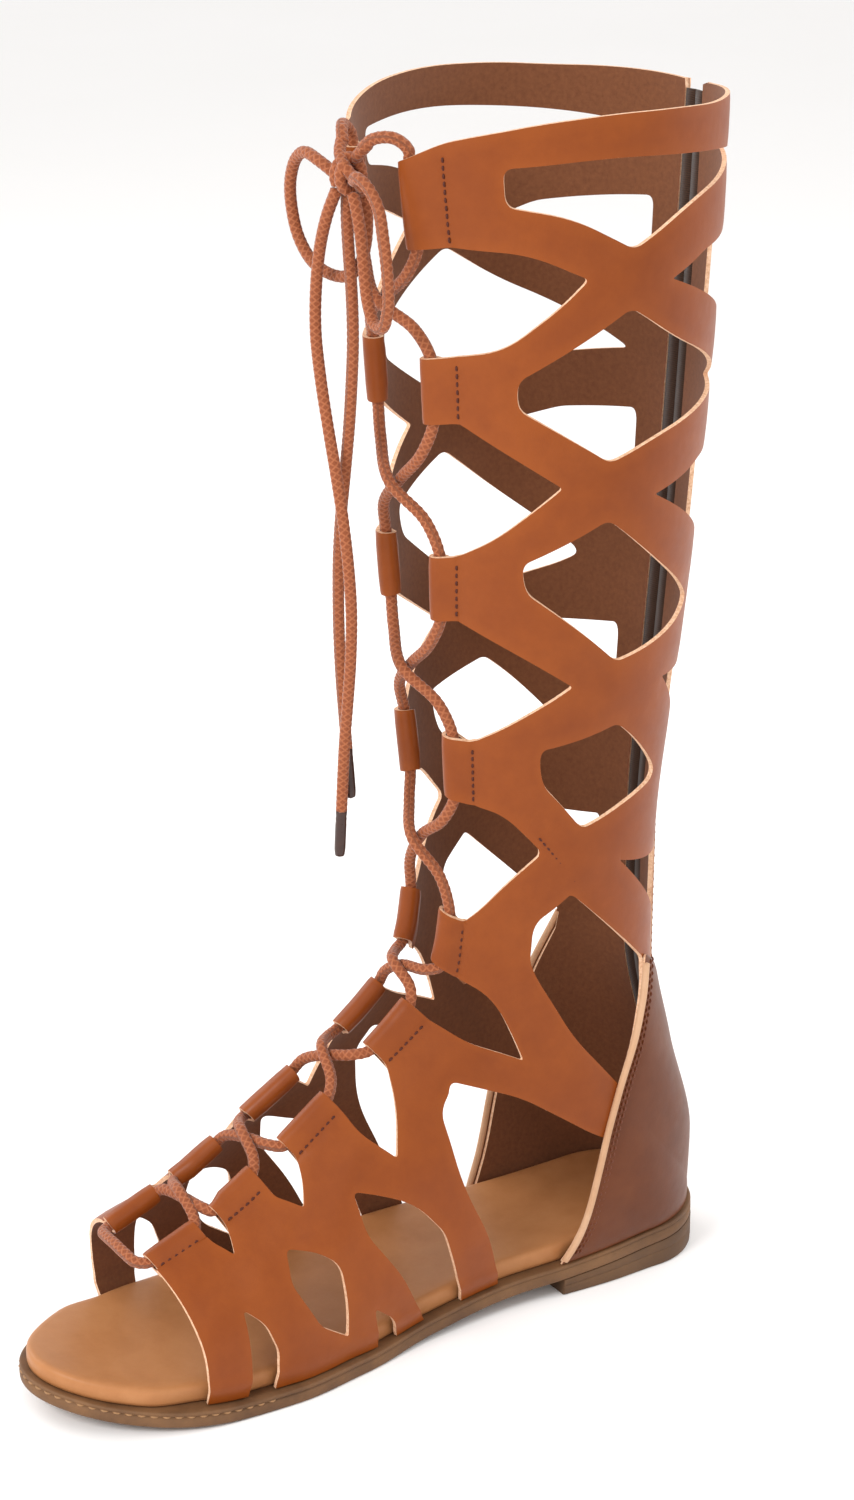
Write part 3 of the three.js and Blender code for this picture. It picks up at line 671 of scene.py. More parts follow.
# ---------------------------------------------------------------- laces
# Routes of the free cords, from the knot
FREE_CORDS = {
    "bow_loop_lateral": [
        (-5.8, -106, 409.5), (-12, -108.5, 413), (-20, -109, 414.5), (-27, -108.5, 411),
        (-31.5, -108, 403), (-32.5, -107, 394), (-30, -106, 385), (-24, -104.5, 378),
        (-16, -102.5, 375), (-8, -100.5, 375.5), (-2, -99.5, 380), (1.5, -99.2, 388),
        (2.6, -99.3, 396), (2.2, -99.6, 403.8),
    ],
    "bow_loop_medial": [
        (5.8, -106, 409), (11, -108, 411), (16.5, -107.5, 409), (20.5, -106, 403),
        (23, -105.5, 393), (24.5, -105, 382), (24, -104.5, 372), (20, -104, 364.5),
        (14, -103.5, 364), (10, -103.5, 370), (8.5, -104, 380), (7.5, -104.5, 391),
        (5.5, -105, 400), (3.4, -105, 404.4),
    ],
    "lace_end_long": [
        (-1.8, -108, 405), (-5, -109.5, 397), (-9, -110, 386), (-12, -110, 372),
        (-12.5, -110, 357), (-10.5, -109.5, 342), (-7, -109, 327), (-3, -108.5, 312),
        (0.5, -108, 297), (3, -107.5, 281), (3.8, -107, 265), (3, -107, 249),
        (0.8, -107, 233), (-1.5, -107, 218), (-3, -107, 204), (-4, -107, 193),
    ],
    "lace_end_short": [
        (-2.7, -103.6, 403.8), (-3, -103.5, 396), (-2, -103.5, 385), (-0.8, -103.2, 371),
        (-0.6, -103, 356), (-1.8, -103, 341), (-4, -102.8, 326), (-7, -102.6, 311),
        (-10.2, -102.4, 296), (-12.5, -102.2, 281), (-13.4, -102, 266), (-13, -102, 250),
        (-11.8, -102, 236), (-10, -102, 223), (-8.6, -102, 213),
    ],
}
AGLET_LENGTH = 17
LACE_STEP = 0.75  # mm between the rings of a lace
LACE_SIDES = 16


def braid_radius(reach, angle):
    """A round cord whose surface rises and falls with two crossing families of ribs."""
    waves = [np.sin(2 * np.pi * reach / BRAID_PITCH + sign * BRAID_RIBS * angle) for sign in (1, -1)]
    return LACE / 2 * (0.95 + 0.07 * np.maximum(*waves))


def aglet(name, points):
    """Crimped tip that carries on from a lace end."""
    before, end = np.array(points[-2:], float)
    line = end + unit(end - before) * np.linspace(0.1, AGLET_LENGTH, 24)[:, None]

    def size(reach, angle):
        share = reach / AGLET_LENGTH
        crimp = sum(deep * np.exp(-((share - at) / 0.03) ** 2) for deep, at in ((0.12, 0.12), (0.1, 0.24)))
        nose = 0.35 * np.clip((share - 0.8) / 0.2, 0, 1) ** 2
        return (LACE / 2 - 0.05 - crimp - nose) * np.ones_like(angle)

    return put(tube(name, line, size, [AGLET_PLASTIC], 20), [name])


def knot():
    """The bow's knot: a wrap round the middle, an overhand under it and the loops' roots."""
    x, y, z = KNOT
    turn = np.linspace(-0.6, 2 * math.pi + 0.9, 40)
    wrap = np.stack([x - 2 + 4 * (turn + 0.6) / 8, y - 4.4 * np.cos(turn), z + 5.2 * np.sin(turn)], -1)
    lines = [
        wrap,
        smooth_path([(-7, -106.2, 410), (-3, -105, 410.5), (3, -105, 410), (7, -106.2, 409.4)], 0.8),
        smooth_path([(-8, -102, 420.5), (-3.5, -105.6, 416.4), (2.6, -107, 412.5), (5.6, -104, 408),
                     (2.2, -100.6, 404.5)], 0.8),
        smooth_path([(8, -102, 420.5), (3.5, -102.5, 417), (-2.6, -101.6, 413), (-5.4, -102.4, 408),
                     (-2.6, -104, 404)], 0.8),
    ]
    parts = [tube_parts(respace(line, 0.8), braid_radius, LACE_SIDES) for line in lines]
    return put(joined("bow_knot", parts, [BRAID]), ["lace_knot"])


def free_cords():
    long_tip = aglet("aglet_long", FREE_CORDS["lace_end_long"])
    short_tip = aglet("aglet_short", FREE_CORDS["lace_end_short"])
    carried = {"lace_end_long": [long_tip, knot()], "lace_end_short": [short_tip]}
    for name, points in FREE_CORDS.items():
        line = smooth_path(points, LACE_STEP)
        piece = put(tube(name + "_braid", line, braid_radius, [BRAID], LACE_SIDES), [name])


# ---------------------------------------------------------------- pattern
TO_SOLE = None
SMALL_ROUND = 3.0  # corners whose table row gives no radius

# Front edge of the heel counter, seen from the side: height, y
COUNTER_FRONT = [
    (13, -36.5), (28, -30.5), (51, -25), (64, -22), (81, -17), (99, -10.5), (115, -5), (126, -2),
]
counter_y = curve(*zip(*COUNTER_FRONT))


def on_counter_front(z, behind=0.0):
    """Pattern corner at a height on the counter's front edge, or a little behind it."""
    y = float(counter_y(z)) + behind
    low, high = 0.0, float(ALONG[-1])
    for _ in range(40):
        a = (low + high) / 2
        back_y, back_height, _, _ = section_at(a, MEDIAL)
        across, down = back_y - front_y(a), back_height - front_z(a)
        beyond = across * (z - front_z(a)) - down * (y - front_y(a))
        low, high = (a, high) if beyond > 0 else (low, a)
    _, back_height, _, end = section_at(low, MEDIAL)
    share = float((front_z(low) - z) / (front_z(low) - back_height))
    return low, math.degrees(math.acos(1 - share * (1 - math.cos(float(end))))), 0


LAP_BEHIND = 1.5  # the upper runs on this far under the counter's front edge

# Lace tabs from the collar down: low, high, turn of the fold, turn of the seam
TABS = [
    (415, 443, 15, 31), (357, 379, 16, 30), (290, 312, 17, 29), (227, 249, 20, 36),
    (166, 185, 17, 30), (127, 148, 13, 29), (83, 105, 15, 29), (50, 69, 14, 28), (22, 42, 16, 27),
]
COLLAR_CORNER = 449.5  # the collar rises this high behind the first tab
COLLAR_SEAM_TOP = 446.5
# Between two tabs the front edge runs back to a notch: along, turn, corner radius
NOTCHES = [
    [(414, 55, 16), (404, 73, 2), (396, 64, 12), (383, 46, 20)],
    [(349, 48, 16), (339, 66, 1.5), (321, 43, 20)],
    [(284, 56, 16), (278, 76, 1.5), (258, 48, 20)],
    [(231, 50, 12), (227, 67, 1.5), (210, 51, 16)],
    [(172, 45, 14), (165, 61, 1.5), (154, 44, 12)],
    [(123, 44, 12), (114, 59, 1.5), (107, 42, 12)],
    [(82, 38, 8), (78, 46, 1.5), (71, 34, 8)],
    [(50.5, 35, 6), (49, 42, 1.5), (44.5, 32, 6)],
]
# Cut-outs: along, turn, corner radius where it isn't SMALL_ROUND
OPENINGS = {
    "collar window": [(441, 49), (429, 49), (424, 68, 14), (411, 88), (421, 111, 14), (427, 160),
                      (433, 127, 20), (441, 80, 20)],
    "upper diamond": [(373, 50, 5), (364, 50, 5), (346, 82), (352, 100, 14), (356, 124, 14), (359, 156),
                      (380, 106, 20), (393, 87)],
    "middle diamond": [(314, 53, 5), (305, 55, 5), (287, 93), (298, 130, 20), (302, 140, 6),
                       (316, 106, 20), (329, 83)],
    "lower diamond": [(256, 65, 5), (246, 67, 5), (239, 86), (251, 110, 16), (259, 133, 8),
                      (267, 109, 16), (270, 98)],
    "upper back": [(399, 103, 1), (372, 163), (406, 163), (404, 120)],
    "middle back": [(335, 102, 1), (313, 161), (343, 161), (341, 130)],
    "lower back": [(283, 122, 1), (268, 159), (287, 159)],
    "ankle back": [(236, 108, 1), (229, 155), (243, 155)],
    "ankle window": [(221, 82), (204, 62, 12), (190, 58, 8), (183, 77, 6),
                     *(on_counter_front(z, LAP_BEHIND) for z in range(81, 120, 4)), (218.6, 131)],
    "ball window": [(66, 52), (63, 64), (68, 85), (76, 98, 1), (79, 86, 5), (81, 72, 5),
                    (75, 62, 4)],
}
# From the vamp's front corner back to the seat. Between two corners at TO_SOLE it is sewn to the sole
SOLE_EDGE = [
    (23, 27, 4), (25, 50, 12), (27, 78, 8), (27, TO_SOLE), (40, TO_SOLE),
    (42, 92), (44, 64), (50, 74, 4), (52, 87), (49, TO_SOLE), (85, TO_SOLE),
    (87, 97), (92, 108), (92, TO_SOLE), (102, TO_SOLE),
    (99, 96, 6), (93, 72, 5), (95, 56), (112, 76, 8), (117, 92), (115, TO_SOLE), (128, TO_SOLE),
    (130, 103, 6), (129, 81, 10), (135, 55, 5), (143, 50, 4), (157, 67, 8),
    *(on_counter_front(z, LAP_BEHIND) for z in range(62, 18, -4)), (145.6, TO_SOLE),
    (SEAT_ALONG, TO_SOLE),
]
COUNTER_EDGE = [(145, TO_SOLE), *(on_counter_front(z) for z in range(17, 122, 3)), (219.5, 131)]
COLLAR_EDGE = [
    (451.5, 42, 20), (454, 61, 12), (454, 82, 12), (451, 106, 12), (448, 124, 12), (446, 150, 12),
]
# The pattern is triangulated on a plane where along is drawn closer below the ankle
SPREAD = np.array([(0, 0), (140, 80), (225, 220), (470, 360)], float)
TURN_SCALE = 0.75


class Fold:
    """Section through a tab folded round its lace: from how far along the leather, to where it lies."""

    def __init__(self, low, high, fold, seam):
        self.low, self.high, self.seam = low, high, seam
        self.scale = math.radians(1) * float(medial_width((low + high) / 2))  # mm a degree
        centre = np.array([(seam - fold) * self.scale - TUNNEL, -0.3])
        hem = np.array([-HEM, -HEM_DEPTH])

        def tangent_angle(start, sign):
            gap = centre - start
            lean = math.asin(TUNNEL / np.hypot(*gap))
            return math.atan2(gap[1], gap[0]) + sign * (lean + math.pi / 2)

        arc = np.linspace(tangent_angle(np.zeros(2), 1), tangent_angle(hem, -1), 40)
        round_part = centre + TUNNEL * np.stack([np.cos(arc), np.sin(arc)], -1)
        line = respace(np.vstack([[(0, 0)], round_part, [hem]]), 0.15)
        self.reach = np.arange(len(line)) * np.linalg.norm(line[1] - line[0])
        self.line = line
        way = unit(np.gradient(line, axis=0))
        self.normal = np.stack([-way[:, 1], way[:, 0]], -1)
        self.far = seam - self.reach[-1] / self.scale
        self.lace_turn = seam - centre[0] / self.scale
        self.lace_depth = LEATHER / 2 + centre[1]

    def at(self, reach):
        """Places and normals in the section."""
        read = [np.interp(reach, self.reach, column) for column in (*self.line.T, *self.normal.T)]
        return np.stack(read[:2], -1), np.stack(read[2:], -1)


FOLDS = [Fold(*row) for row in TABS]


def on_side(corners, side):
    """A medial outline as drawn on one side, with its corners on the sole's edge filled in."""
    out = []
    for i, corner in enumerate(corners):
        a, turn = corner[:2]
        radius = corner[2] if len(corner) > 2 else SMALL_ROUND
        if turn is not TO_SOLE:
            share = float(sole_turn(a, side) / sole_turn(a, MEDIAL))
            out.append((a, turn * share if turn > 0 else turn, radius))
            continue
        out.append((a, float(sole_turn(a, side)), 0))
        if i + 1 < len(corners) and corners[i + 1][1] is TO_SOLE:
            for b in np.arange(a + 2, corners[i + 1][0] - 1, 0.7 if a > 140 else 2):
                out.append((b, float(sole_turn(b, side)), 0))
    if side == LATERAL:
        out = [(a, 360 - turn, radius) for a, turn, radius in reversed(out)]
    return out


def flat(points):
    """(along, turn) on the plane where the pattern is triangulated."""
    points = np.asarray(points, float)
    return np.stack([np.interp(points[:, 0], *SPREAD.T), points[:, 1] * TURN_SCALE], -1)


def unflat(points):
    return np.stack([np.interp(points[:, 0], SPREAD[:, 1], SPREAD[:, 0]), points[:, 1] / TURN_SCALE], -1)


def outline(corners, step=1.5):
    """A closed path on the plane, with rounded corners, as evenly spaced points."""
    points = flat([c[:2] for c in corners])
    path = []
    for i, point in enumerate(points):
        before, after = points[i - 1], points[(i + 1) % len(points)]
        to_before, to_after = np.linalg.norm(before - point), np.linalg.norm(after - point)
        radius = min(corners[i][2] * TURN_SCALE, 0.45 * to_before, 0.45 * to_after)
        if radius < 0.3:
            path.append(point)
            continue
        enter = point + (before - point) * radius / to_before
        leave = point + (after - point) * radius / to_after
        for t in np.linspace(0, 1, 7):
            path.append((1 - t) ** 2 * enter + 2 * t * (1 - t) * point + t * t * leave)
    path = np.array(path + [path[0]])
    out = []
    for start, end in zip(path[:-1], path[1:]):
        count = max(1, int(math.ceil(np.linalg.norm(end - start) / step)))
        out.extend(start + (end - start) * k / count for k in range(count))
    out = np.array(out)
    keep = np.linalg.norm(out - np.roll(out, 1, 0), axis=1) > 0.12
    return out[keep]


def inside(points, loops):
    """Which points lie inside an odd number of loops."""
    odd = np.zeros(len(points), bool)
    for loop in loops:
        for (x0, y0), (x1, y1) in zip(loop, np.roll(loop, -1, 0)):
            if y0 == y1:
                continue
            crosses = (points[:, 1] > min(y0, y1)) & (points[:, 1] <= max(y0, y1))
            odd ^= crosses & (points[:, 0] < x0 + (points[:, 1] - y0) * (x1 - x0) / (y1 - y0))
    return odd


def triangulate(loops, grid):
    """Points and triangles that fill loops (the first is the outline, the others are holes)."""
    rim = np.vstack(loops)
    tree = KDTree(len(rim))
    for i, (x, y) in enumerate(rim):
        tree.insert((x, y, 0), i)
    tree.balance()
    from_rim = np.array([tree.find((x, y, 0))[2] for x, y in grid])
    grid = grid[(from_rim > 0.9) & inside(grid, loops)]
    edges, start = [], 0
    for loop in loops:
        count = len(loop)
        edges.extend((start + i, start + (i + 1) % count) for i in range(count))
        start += count
    seeds = [Vector(p) for p in np.vstack([rim, grid])]
    verts, _, faces, *_ = delaunay_2d_cdt(seeds, edges, [], 0, 1e-5)
    verts = np.array([tuple(v) for v in verts])
    faces = np.array([tuple(f) for f in faces])
    faces = faces[inside(verts[faces].mean(1), loops)]
    used = np.unique(faces)
    renumber = np.full(len(verts), -1)
    renumber[used] = np.arange(len(used))
    verts, faces = verts[used], renumber[faces]
    from_rim = np.array([tree.find((x, y, 0))[2] for x, y in verts])
    return unflat(verts), faces, from_rim


def mesh_grid(low, high, step):
    """Staggered points over a rectangle."""
    rows = []
    for i, x in enumerate(np.arange(low[0], high[0], step[0])):
        y = np.arange(low[1] + (i % 2) * step[1] / 2, high[1], step[1])
        rows.append(np.stack([np.full_like(y, x), y], -1))
    return np.vstack(rows)


# Creases of the medial panel, drawn on both sides: from, to (along, turn), depth and width in mm.
# Negative depths are troughs.
CREASES = [
    ((49, 42), (45, 62), -1.2, 4.0),
    ((47, 45), (56, 60), 0.8, 5.0),
    ((78, 46), (70, 52), -0.96, 3.5),
    ((88, 60), (80, 70), 0.8, 5.0),
    ((114, 58), (98, 57), -0.96, 4.5),
    ((106, 44), (92, 52), 0.72, 5.0),
    ((120, 60), (131, 58), -0.72, 4.5),
    ((162, 60), (150, 58), -0.8, 4.5),
    ((165, 62), (186, 62), -0.64, 5.0),
    ((170, 75), (180, 90), 0.8, 6.0),
    ((32, 40), (36, 80), 0.8, 7.0),
    ((60, 72), (58, 96), 0.88, 6.0),
    ((72, 100), (80, 108), -0.64, 4.0),
    ((122, 88), (124, 108), 0.72, 5.0),
    ((224, 72), (232, 96), 0.72, 5.0),
    ((338, 68), (352, 84), -0.56, 6.0),
    ((278, 78), (290, 92), -0.56, 6.0),
    ((404, 76), (412, 88), -0.56, 6.0),
]
LEDGE = (7.5, 2.6, 0.7)  # the footbed's edge shows through: height, width, depth
LEDGE_END = 132  # as far back as this along the last


def relief(a, turn):
    """Soft troughs and ridges, in mm outwards."""
    side_turn = from_front(turn)
    total = np.zeros_like(a)
    for start, end, depth, width in CREASES:
        middle = math.radians(float(medial_width((start[0] + end[0]) / 2)))
        p = np.stack([a - start[0], (side_turn - start[1]) * middle], -1)
        way = np.array([end[0] - start[0], (end[1] - start[1]) * middle])
        length = np.linalg.norm(way)
        t = np.clip(p @ way / length ** 2, 0, 1)
        off = np.linalg.norm(p - t[:, None] * way, axis=1)
        total += depth * np.exp(-(off / width) ** 2) * np.sin(np.pi * np.clip(0.12 + 0.76 * t, 0, 1))
    height, width, depth = LEDGE
    point = last_point(a, turn)
    rise = point[:, 2] - sole_top(HEEL_Y - point[:, 1])
    total += np.where(a < LEDGE_END, depth * np.exp(-((rise - height) / width) ** 2), 0)
    return total


FOLD_THIN = 0.88  # leather is a little thinner where it is folded


def drape(pattern, depth, groove):
    """Pattern points at a depth through the leather, on the last or round a folded tab."""
    a, turn = pattern.T
    side = np.where(turn > 180, LATERAL, MEDIAL)
    side_turn = from_front(turn)
    middle = LEATHER / 2
    rise = relief(a, turn) - groove
    point, normal = lay(a, turn)
    out = point + normal * (depth + rise)[:, None]
    for fold in FOLDS:
        lateral_seam = fold.seam * sole_turn(a, LATERAL) / sole_turn(a, MEDIAL)
        side_seam = np.where(side > 0, fold.seam, lateral_seam)
        here = (a > fold.low - 6) & (a < fold.high + 10) & (side_turn < side_seam)
        if not here.any():
            continue
        reach = (side_seam[here] - side_turn[here]) * fold.scale
        spot, facing = fold.at(reach)
        turned = side_seam[here] - spot[:, 0] / fold.scale
        lift = spot[:, 1]
        signed = np.where(side[here] > 0, turned, 360 - turned)
        point, normal = lay(a[here], signed)
        ahead = place(a[here], signed - 0.5 * side[here], 0 * signed)
        forward = unit(ahead - point)
        offset = (depth[here] - middle) * FOLD_THIN
        fade = np.clip(1 - reach / 6, 0, 1)
        outwards = middle + lift + rise[here] * fade + offset * facing[:, 1]
        out[here] = point + normal * outwards[:, None] + forward * (offset * facing[:, 0])[:, None]
    return out


def shell(name, pattern, faces, from_rim, outer, inner, materials):
    """A closed sheet between two draped faces. Materials: outside, cut edge, inside."""
    count = len(pattern)
    a, b, c = faces.T
    sides = np.vstack([np.stack([a, b], -1), np.stack([b, c], -1), np.stack([c, a], -1)])
    key = np.sort(sides, 1)
    _, first, times = np.unique(key, axis=0, return_index=True, return_counts=True)
    rim = sides[first[times == 1]]
    outside = [(p, r, q) for p, q, r in faces]
    inner_faces = [(p + count, q + count, r + count) for p, q, r in faces]
    rim_faces = [(p, q, q + count, p + count) for p, q in rim]
    all_faces = outside + inner_faces + rim_faces
    index = [0] * len(outside) + [2] * len(inner_faces) + [1] * len(rim_faces)
    thing = mesh_object(name, np.vstack([outer, inner]), all_faces, materials, index)
    attribute = thing.data.attributes.new("from_edge", "FLOAT", "POINT")
    attribute.data.foreach_set("value", np.tile(from_rim, 2).astype(np.float32))
    return thing


def zip_slot(top):
    """Corners of the slot for the zip, from its foot to the top of the leather."""
    return [(a, float(beside_back(a, SLOT_HALF)), 0.5) for a in (SLOT_FOOT, top)]


def front_edge():
    """Corners of the laced edge, from the collar down: tabs unfolded, notches between them."""
    corners = []
    for i, (row, fold) in enumerate(zip(TABS, FOLDS)):
        low, high, bend, seam = row
        corners.append((COLLAR_CORNER, seam, 9) if i == 0 else (high + 1.5, seam, 3))
        corners += [(high, bend, 0), (high - 1.4, fold.far, 2)]
        corners += [(low + 1.4, fold.far, 2), (low, bend, 0), (low + 1.5, seam, 3)]
        if i < len(NOTCHES):
            corners += NOTCHES[i]
    return corners


def both_sides(medial):
    """The whole outline from the medial one, whose last corner lies on the back centre line."""
    return on_side(medial, MEDIAL) + on_side(medial, LATERAL)[1:]


TAB_END = 31  # the coarse grid stops at this turn, and every tab has its own in front of it


def pattern_grid():
    """Points that fill the upper's pattern, finer across the tabs where they fold."""
    coarse = mesh_grid((0, 20), (350, 250), (2.4, 2.4))
    in_tab = (coarse[:, 1] < TAB_END * TURN_SCALE) | (coarse[:, 1] > (360 - TAB_END) * TURN_SCALE)
    parts = [coarse[~in_tab]]
    for fold in FOLDS:
        low, high = np.interp([fold.low - 2, fold.high + 8], *SPREAD.T)
        for start, end in ((fold.far, fold.seam), (360 - fold.seam * 1.1, 360 - fold.far)):
            parts.append(mesh_grid((low, start * TURN_SCALE), (high, end * TURN_SCALE), (2.2, 0.8)))
    return np.vstack(parts)


def seam_grooves(a, turn):
    """How far each tab's seam draws the leather in."""
    groove = np.zeros_like(a)
    for fold in FOLDS:
        off = (from_front(turn) - fold.seam) * fold.scale
        near = (a > fold.low - 1) & (a < fold.high + 3)
        groove += np.where(near, 0.3 * np.exp(-(off / 1.1) ** 2), 0)
    return groove


def upper():
    medial = [*zip_slot(SHAFT_TOP), *COLLAR_EDGE[::-1], *front_edge(), *SOLE_EDGE]
    loops = [outline(both_sides(medial))]
    for corners in OPENINGS.values():
        loops += [outline(on_side(corners, MEDIAL)), outline(on_side(corners, LATERAL))]
    pattern, faces, from_rim = triangulate(loops, pattern_grid())
    a, turn = pattern.T
    groove = seam_grooves(a, turn)
    rounded = 0.25 * np.exp(-from_rim / 1.2)
    outer = drape(pattern, np.full_like(a, LEATHER) - rounded, groove)
    inner = drape(pattern, np.zeros_like(a), groove * 0.4)
    thing = shell("upper_leather", pattern, faces, from_rim, outer, inner, [HIDE, EDGE, LINING])
    bevel(thing, 0.35)
    return put(thing, ["upper"])


COUNTER_LOW, COUNTER_HIGH = 1.95, 3.6  # depths of the overlay's two faces


def heel_counter():
    medial = [*zip_slot(COUNTER_TOP), *COUNTER_EDGE[::-1], (SEAT_ALONG, TO_SOLE)]
    loops = [outline(both_sides(medial), 1.2)]
    pattern, faces, from_rim = triangulate(loops, mesh_grid((60, 40), (260, 240), (1.8, 1.9)))
    a, turn = pattern.T
    thin = 0.9 * np.exp(-from_rim / 1.6)
    point, normal = lay(a, turn)
    rise = point[:, 2] - sole_top(HEEL_Y - point[:, 1])
    swell = 0.5 * np.exp(-((rise - 26) / 18) ** 2)
    outer = point + normal * (COUNTER_HIGH - thin + swell)[:, None]
    inner = point + normal * COUNTER_LOW
    materials = [COUNTER_HIDE, EDGE, LINING]
    thing = shell("heel_counter_leather", pattern, faces, from_rim, outer, inner, materials)
    bevel(thing, 0.3)
    return put(thing, ["heel_counter"])


# ---------------------------------------------------------------- stitching and trim
STITCH_INSET = 0.32  # a tab's seam lies this far in front of where the fold starts


def surface_line(corners, side, depth):
    """A line on the leather through (along, turn) corners, as places with normals."""
    corners = np.array([(a, turn, 0) for a, turn in corners], float)
    a, turn, _ = smooth_path(corners, 1.0).T
    point, normal = lay(a, carried_over(a, turn, side))
    return respace(np.hstack([point + normal * depth, normal]), 0.6)


def stitches(line, pitch, length, radius):
    """Short bowed threads along a line of (place, normal) rows."""
    proud = 0.15
    spots = respace(line, pitch)
    parts = []
    for before, after in zip(spots[:-1], spots[1:]):
        start, end = before[:3], after[:3]
        normal = unit(before[3:] + after[3:])
        gap = end - start
        span = np.linalg.norm(gap)
        if span < 0.5 * pitch:
            continue
        way = gap / span
        t = np.linspace(-0.5, 0.5, 5)[:, None]
        bow = (1 - (2 * t) ** 2)
        points = (start + end) / 2 + way * t * length + normal * (proud * bow - radius * (2 * t) ** 2 * 1.6)
        parts.append(tube_parts(points, radius, 6)[:2])
    return parts


def tab_seam(row, fold, side):
    low, high = row[:2]
    top = COLLAR_SEAM_TOP if row is TABS[0] else high
    seam = fold.seam - STITCH_INSET / fold.scale
    corners = [(low + 2.5, seam), ((low + top) / 2, seam), (top - 1, seam)]
    return surface_line(corners, side, LEATHER - 0.15)


def counter_front_line(side, depth, behind, low):
    """A line a little behind the counter's front edge, from a height up, as places with normals."""
    a, turn = np.array([on_counter_front(z, behind)[:2] for z in np.arange(low, 124, 1.5)]).T
    point, normal = lay(a, carried_over(a, turn, side))
    return np.hstack([point + normal * depth, normal])


def trim():
    """The tabs' seams, the strap's lap seam, and the counter's stitches and piping."""
    lap = [(230.5, 66), (227.5, 75), (224.5, 84)]
    dark, counter, piping = [], [], []
    for side in (MEDIAL, LATERAL):
        for row, fold in zip(TABS, FOLDS):
            dark += stitches(tab_seam(row, fold, side), 2.6, 1.7, 0.42)
        dark += stitches(surface_line(lap, side, LEATHER + 0.1), 2.4, 1.5, 0.38)
        counter += stitches(counter_front_line(side, COUNTER_HIGH - 0.05, 3.0, 17), 2.5, 1.8, 0.36)
        counter += stitches(counter_front_line(side, COUNTER_HIGH, 4.6, 17), 2.5, 1.8, 0.34)
        line = counter_front_line(side, COUNTER_HIGH - 0.75, 0.3, 15)[:, :3]
        piping.append(tube_parts(respace(line, 1.2), 1.25)[:2])
    put(joined("seam_stitches", dark, [DARK_THREAD]))
    put(joined("counter_stitches", counter, [COUNTER_THREAD]))
    put(joined("counter_piping", piping, [PIPING_HIDE]))


STAY_OUT = 12.5  # outer edge of a zip stay, beside the back centre line
STAY_LOW, STAY_HIGH = 1.75, 2.7
STAY_FOOT, STAY_TOP = 216, 445.5
# Across a stay from the zip outwards: distance from the centre line, how far its face is rounded off
STAY_SECTION = [(4.9, 0.35), (5.3, 0.05), (7, 0), (9, 0), (11, 0), (STAY_OUT - 0.4, 0.05), (STAY_OUT, 0.35)]
STAY_SEAMS = (6.4, 10.9)


def back_strip(a, section, side):
    """Points and faces of a strip beside the back centre line. section: (distance, depth) round it."""
    points = [place(a, beside_back(a, side * offset), depth + 0 * a) for offset, depth in section]
    rows, wide, flip = len(a), len(section), side == MEDIAL
    faces = loft_faces(rows, wide, flip) + end_faces(rows, wide, flip)
    return np.stack(points, 1).reshape(-1, 3), faces


def zip_stays():
    """Narrow facings each side of the zip, laid on the shaft."""
    a = np.arange(STAY_FOOT, STAY_TOP, 2.0)
    seam = np.arange(STAY_FOOT + 2, SHAFT_TOP, 1.0)
    section = [(offset, STAY_HIGH - drop) for offset, drop in STAY_SECTION]
    section += [(offset, STAY_LOW) for offset, _ in STAY_SECTION[::-1]]
    # the two long sides and both ends are cut edges
    long_sides = (len(STAY_SECTION) - 1, len(section) - 1)
    kinds = [int(i in long_sides) for i in range(len(section))] * (len(a) - 1) + [1, 1]
    threads = []
    for side in (MEDIAL, LATERAL):
        name = "zip_stay_medial" if side > 0 else "zip_stay_lateral"
        points, faces = back_strip(a, section, side)
        put(mesh_object(name, points, faces, [STAY_HIDE, EDGE], kinds))
        for offset in STAY_SEAMS:
            point, normal = lay(seam, beside_back(seam, side * offset))
            line = np.hstack([point + normal * (STAY_HIGH - 0.05), normal])
            threads += stitches(line, 3.0, 2.1, 0.34)
    put(joined("zip_stay_stitches", threads, [DARK_THREAD]))


# ---------------------------------------------------------------- zip
def block(centre, axes, size):
    """A box with chamfered long edges, as points and faces. axes: right, up, out."""
    right, up, out = axes
    w, h, d = (length / 2 for length in size)
    c = 0.25
    ring = [(-w + c, -d), (w - c, -d), (w, -d + c), (w, d - c)]
    ring += [(-x, -y) for x, y in ring]
    points = [centre + right * x + out * y + up * z for z in (-h, h) for x, y in ring]
    return np.array(points), loft_faces(2, 8) + end_faces(2, 8)


JUST_MEDIAL = 179.99  # a turn on the back centre line, read on its medial side


def zip_frame(a):
    """Place, and directions towards medial, up and out, on the back centre line."""
    point, normal = lay(np.array([float(a)]), np.array([JUST_MEDIAL]))
    above, below = (place(a + reach, JUST_MEDIAL, 0.0) for reach in (1.0, -1.0))
    up = unit(above - below)
    out = normal[0]
    right = np.cross(up, out)
    right = right if right[0] > 0 else -right
    return point[0], right, up, out


TOOTH_PITCH = 1.5
TOOTH = (3.0, 1.0, 1.8)  # across, up, out
TOOTH_DEPTH = 1.9
# Across a zip tape from the centre line: distance, depth
TAPE_SECTION = [(0.04, 0.5), (0.04, 1.3), (1.0, 1.45), (2.2, 1.15), (5.6, 1.1), (5.6, 0.5)]


